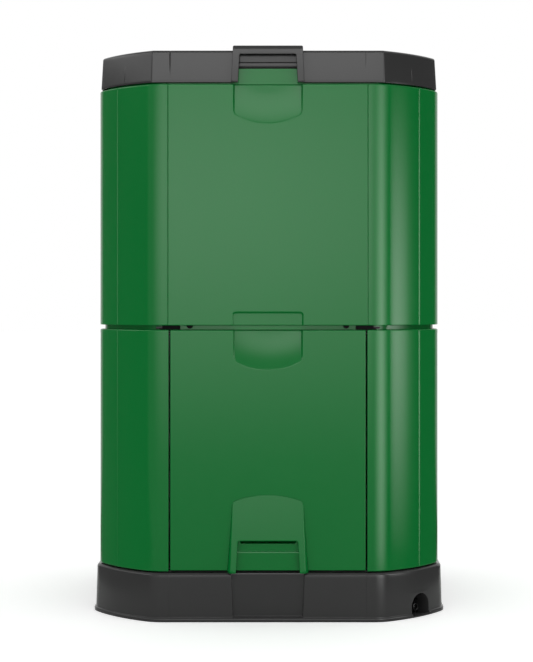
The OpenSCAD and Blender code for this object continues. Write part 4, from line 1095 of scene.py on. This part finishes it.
def seam_parts():
    """Four clips, each with a low tongue and a tenon, and four half-round lugs that hang from the upper
    tier."""
    clips, tongues, lugs = [], [], []
    for sign in (1, -1):
        for s in (1, -1):
            x0, x1 = sorted((s * CLIP_X[0], s * CLIP_X[1]))
            face = rounded_box(x0, x1, SEAM[0] + 0.6 * MM, SEAM[1] - 0.1 * MM, 0.8 * MM)
            clips.append(on_front(stamped_form(face, SEAM_BACK, -4 * MM, 0.6 * MM), sign))
            x0, x1 = sorted((s * (CLIP_X[1] - 2 * MM), s * CLIP_X[2]))
            tongue = rounded_box(x0, x1, SEAM[0] + 2.2 * MM, SEAM[0] + 6 * MM, 1.2 * MM)
            tongues.append(on_front(stamped_form(tongue, SEAM_BACK, -5 * MM, 1.1 * MM), sign))
            x0, x1 = sorted((s * (CLIP_X[0] + 24.5 * MM), s * (CLIP_X[2] - 8 * MM)))
            tenon = rounded_box(x0, x1, SEAM[0], SEAM[0] + 3 * MM, 0.4 * MM)
            clips.append(on_front(stamped_form(tenon, SEAM_BACK, -6 * MM, 0.3 * MM), sign))
            a = np.radians(np.linspace(180, 360, 25))
            lug = np.stack([s * LUG_X + LUG_R * np.cos(a), SEAM[1] - 0.1 * MM + LUG_R * np.sin(a)], -1)
            lugs.append(on_front(stamped_form(lug, SEAM_BACK, -2 * MM, 0.9 * MM), sign))
    return joined("seam_clip_set", clips), joined("seam_tongue_set", tongues), joined("seam_lug_set", lugs)


clips, tongues, lugs = seam_parts()
# The clips and lugs wear black plastic darkened with painted shade of the seam.
dress(clips, "bin", "black_plastic", "seam_clips", look=SHADOW_BLACK)
dress(tongues, "bin", "black_plastic")
dress(lugs, "bin", "black_plastic", "seam_lugs", look=SHADOW_BLACK)

# %% [markdown]
# The light is a white tent, as for a catalogue picture. The world is plain white, so every upright face
# gets nearly the same diffuse light and a colour renders about as it is written. What models the form is
# gloss. A wide softbox behind the camera, whose lower edge fades, gives the pale veil that thins towards
# the ground. Two upright ones close by on the right draw the two streaks on the rounded corner. One over
# the front is for what leans back, the lid and the upper scoop, and a high one on the left for the cut
# corner of the lid. They light the gloss only, so the diffuse light stays even. Dark sheets at the sides
# keep the white of the tent and of the floor out of the cut corners.

# %% World and lamps
def make_world():
    """Plain white all round."""
    world = bpy.data.worlds.new("white tent")
    world.use_nodes = True
    world.node_tree.nodes["Background"].inputs["Color"].default_value = (1, 1, 1, 1)
    world.node_tree.nodes["Background"].inputs["Strength"].default_value = 1.0
    bpy.context.scene.world = world


def soft_edge(tree, value, widths):
    """0 at both borders of a lamp and 1 from widths[0] of the one to widths[1] of the other, for a
    coordinate that runs from 0 to 1."""
    ramps = []
    for share, width in ((value, widths[0]), (math_node(tree, "SUBTRACT", 1.0, value), widths[1])):
        ramp = tree.nodes.new("ShaderNodeMapRange")
        ramp.interpolation_type = "SMOOTHSTEP"
        ramp.inputs["From Max"].default_value = width
        tree.links.new(share, ramp.inputs["Value"])
        ramps.append(ramp.outputs["Result"])
    return math_node(tree, "MULTIPLY", *ramps)


def softbox(name, place, aim, size, radiance, across, up):
    """A rectangular lamp for gloss only. Its light fades over a share of the width at the left and the
    right, as seen from the lamp, and over a share of the height at the foot and the top."""
    data = bpy.data.lights.new(name, "AREA")
    data.shape = "RECTANGLE"
    data.size, data.size_y = size
    data.energy = radiance * math.pi * size[0] * size[1]
    data.use_nodes = True
    tree = data.node_tree
    where = tree.nodes.new("ShaderNodeNewGeometry").outputs["Parametric"]
    split = tree.nodes.new("ShaderNodeSeparateXYZ")
    tree.links.new(where, split.inputs[0])
    edges = [soft_edge(tree, split.outputs[axis], widths) for axis, widths in zip("XY", (across, up))]
    tree.links.new(math_node(tree, "MULTIPLY", *edges), tree.nodes["Emission"].inputs["Strength"])
    lamp = bpy.data.objects.new(name, data)
    lamp.location = place
    lamp.rotation_euler = (Vector(aim) - Vector(place)).to_track_quat("-Z", "Y").to_euler()
    lamp.visible_camera = False
    lamp.visible_diffuse = False
    bpy.context.scene.collection.objects.link(lamp)
    return lamp


def sheet(name, corners, material):
    """One flat face of the stage."""
    mesh = bpy.data.meshes.new(name)
    mesh.from_pydata(corners, [], [(0, 1, 2, 3)])
    mesh.materials.append(material)
    obj = bpy.data.objects.new(name, mesh)
    bpy.context.scene.collection.objects.link(obj)
    return obj


def plain_material(name, colour, rough):
    """One colour with hardly any gloss, for the stage."""
    material = bpy.data.materials.new(name)
    material.use_nodes = True
    shader = material.node_tree.nodes["Principled BSDF"]
    shader.inputs["Base Color"].default_value = (*colour, 1)
    shader.inputs["Roughness"].default_value = rough
    shader.inputs["Specular IOR Level"].default_value = 0.1
    return material, material.node_tree, shader


def flag(name, corners, material):
    """A dark sheet that only reflections see."""
    obj = sheet(name, corners, material)
    obj.visible_camera = obj.visible_diffuse = obj.visible_shadow = False
    return obj


make_world()
FLAG_X = 3.6
for label, s, tone in (("left", -1, 0.2), ("right", 1, 0.05)):
    cloth = plain_material(f"{label} dark cloth", (tone, tone, tone), 1.0)[0]
    x, near, far = s * FLAG_X, -2.4, 2.6
    flag(f"{label} flag", [(x, near, 0), (x, far, 0), (x, far, 3), (x, near, 3)], cloth)
    inner = s * 0.75
    flag(f"{label} low flag", [(inner, -1, MM), (x, near, MM), (x, far, MM), (inner, 1, MM)], cloth)

STRIP_AIM = (0.21, -0.39, 0.675)
# name, place, aim, size, radiance, fades across, fades up
LAMPS = [
    ("front softbox", (-1.1, -4.6, 1.0), (-1.1, 0, 1.0), (6.6, 2.7), 5.6, (0.6, 0.4), (0.55, 0.37)),
    ("upper softbox", (-0.1, -1.4, 1.68), (-0.1, 0, 1.68), (1.5, 0.76), 5.8, (0.25, 0.25), (0.13, 0.6)),
    ("right strip", (0.605, -0.955, 0.675), STRIP_AIM, (0.67, 2.45), 11.3, (0.55, 0.5), (0.43, 0.53)),
    ("side strip", (1.241, -0.518, 0.61), (0.3, -0.31, 0.61), (0.534, 1.55), 11.5, (0.17, 0.83), (0.5, 0.5)),
    ("left high softbox", (-3.5, 0.0, 2.6), (0, 0.0, 2.6), (6.0, 1.5), 4.9, (0.66, 0.12), (0.08, 0.2)),
]
for lamp in LAMPS:
    softbox(*lamp)
print("lamps:", len(bpy.data.lights))

# %% [markdown]
# The bin stands on a pale floor that runs out into the white. A brighter lamp would bleach the bin as well,
# so the floor gets its last bit of white from Light Path: only rays from the camera see it, and the shadow
# is kept.

# %% Floor
def floor_material():
    """Pale and matt. What the camera sees gets a little more, so the open floor runs into the white
    behind it, while the soft shadow under the bin stays."""
    material, tree, shader = plain_material("pale floor", (0.88, 0.88, 0.88), 0.9)
    shader.inputs["Emission Color"].default_value = (1, 1, 1, 1)
    paths = tree.nodes.new("ShaderNodeLightPath")
    lift = math_node(tree, "MULTIPLY", paths.outputs["Is Camera Ray"], 0.3)
    tree.links.new(lift, shader.inputs["Emission Strength"])
    return material


sheet("floor", [(-30, -30, 0), (30, -30, 0), (30, 30, 0), (-30, 30, 0)], floor_material())
bpy.context.scene.view_settings.view_transform = "Standard"
print("stage ready")

# %% [markdown]
# Every imported node that is still shown gets the finish of its slot.

# %% Finishes of the imported nodes
for name, obj in frame["nodes"].items():
    row = next(r for r in frame["record"]["subparts"] if r["node"] == name)
    obj.data.materials.clear()
    obj.data.materials.append(FINISH[row["material_slot"]])
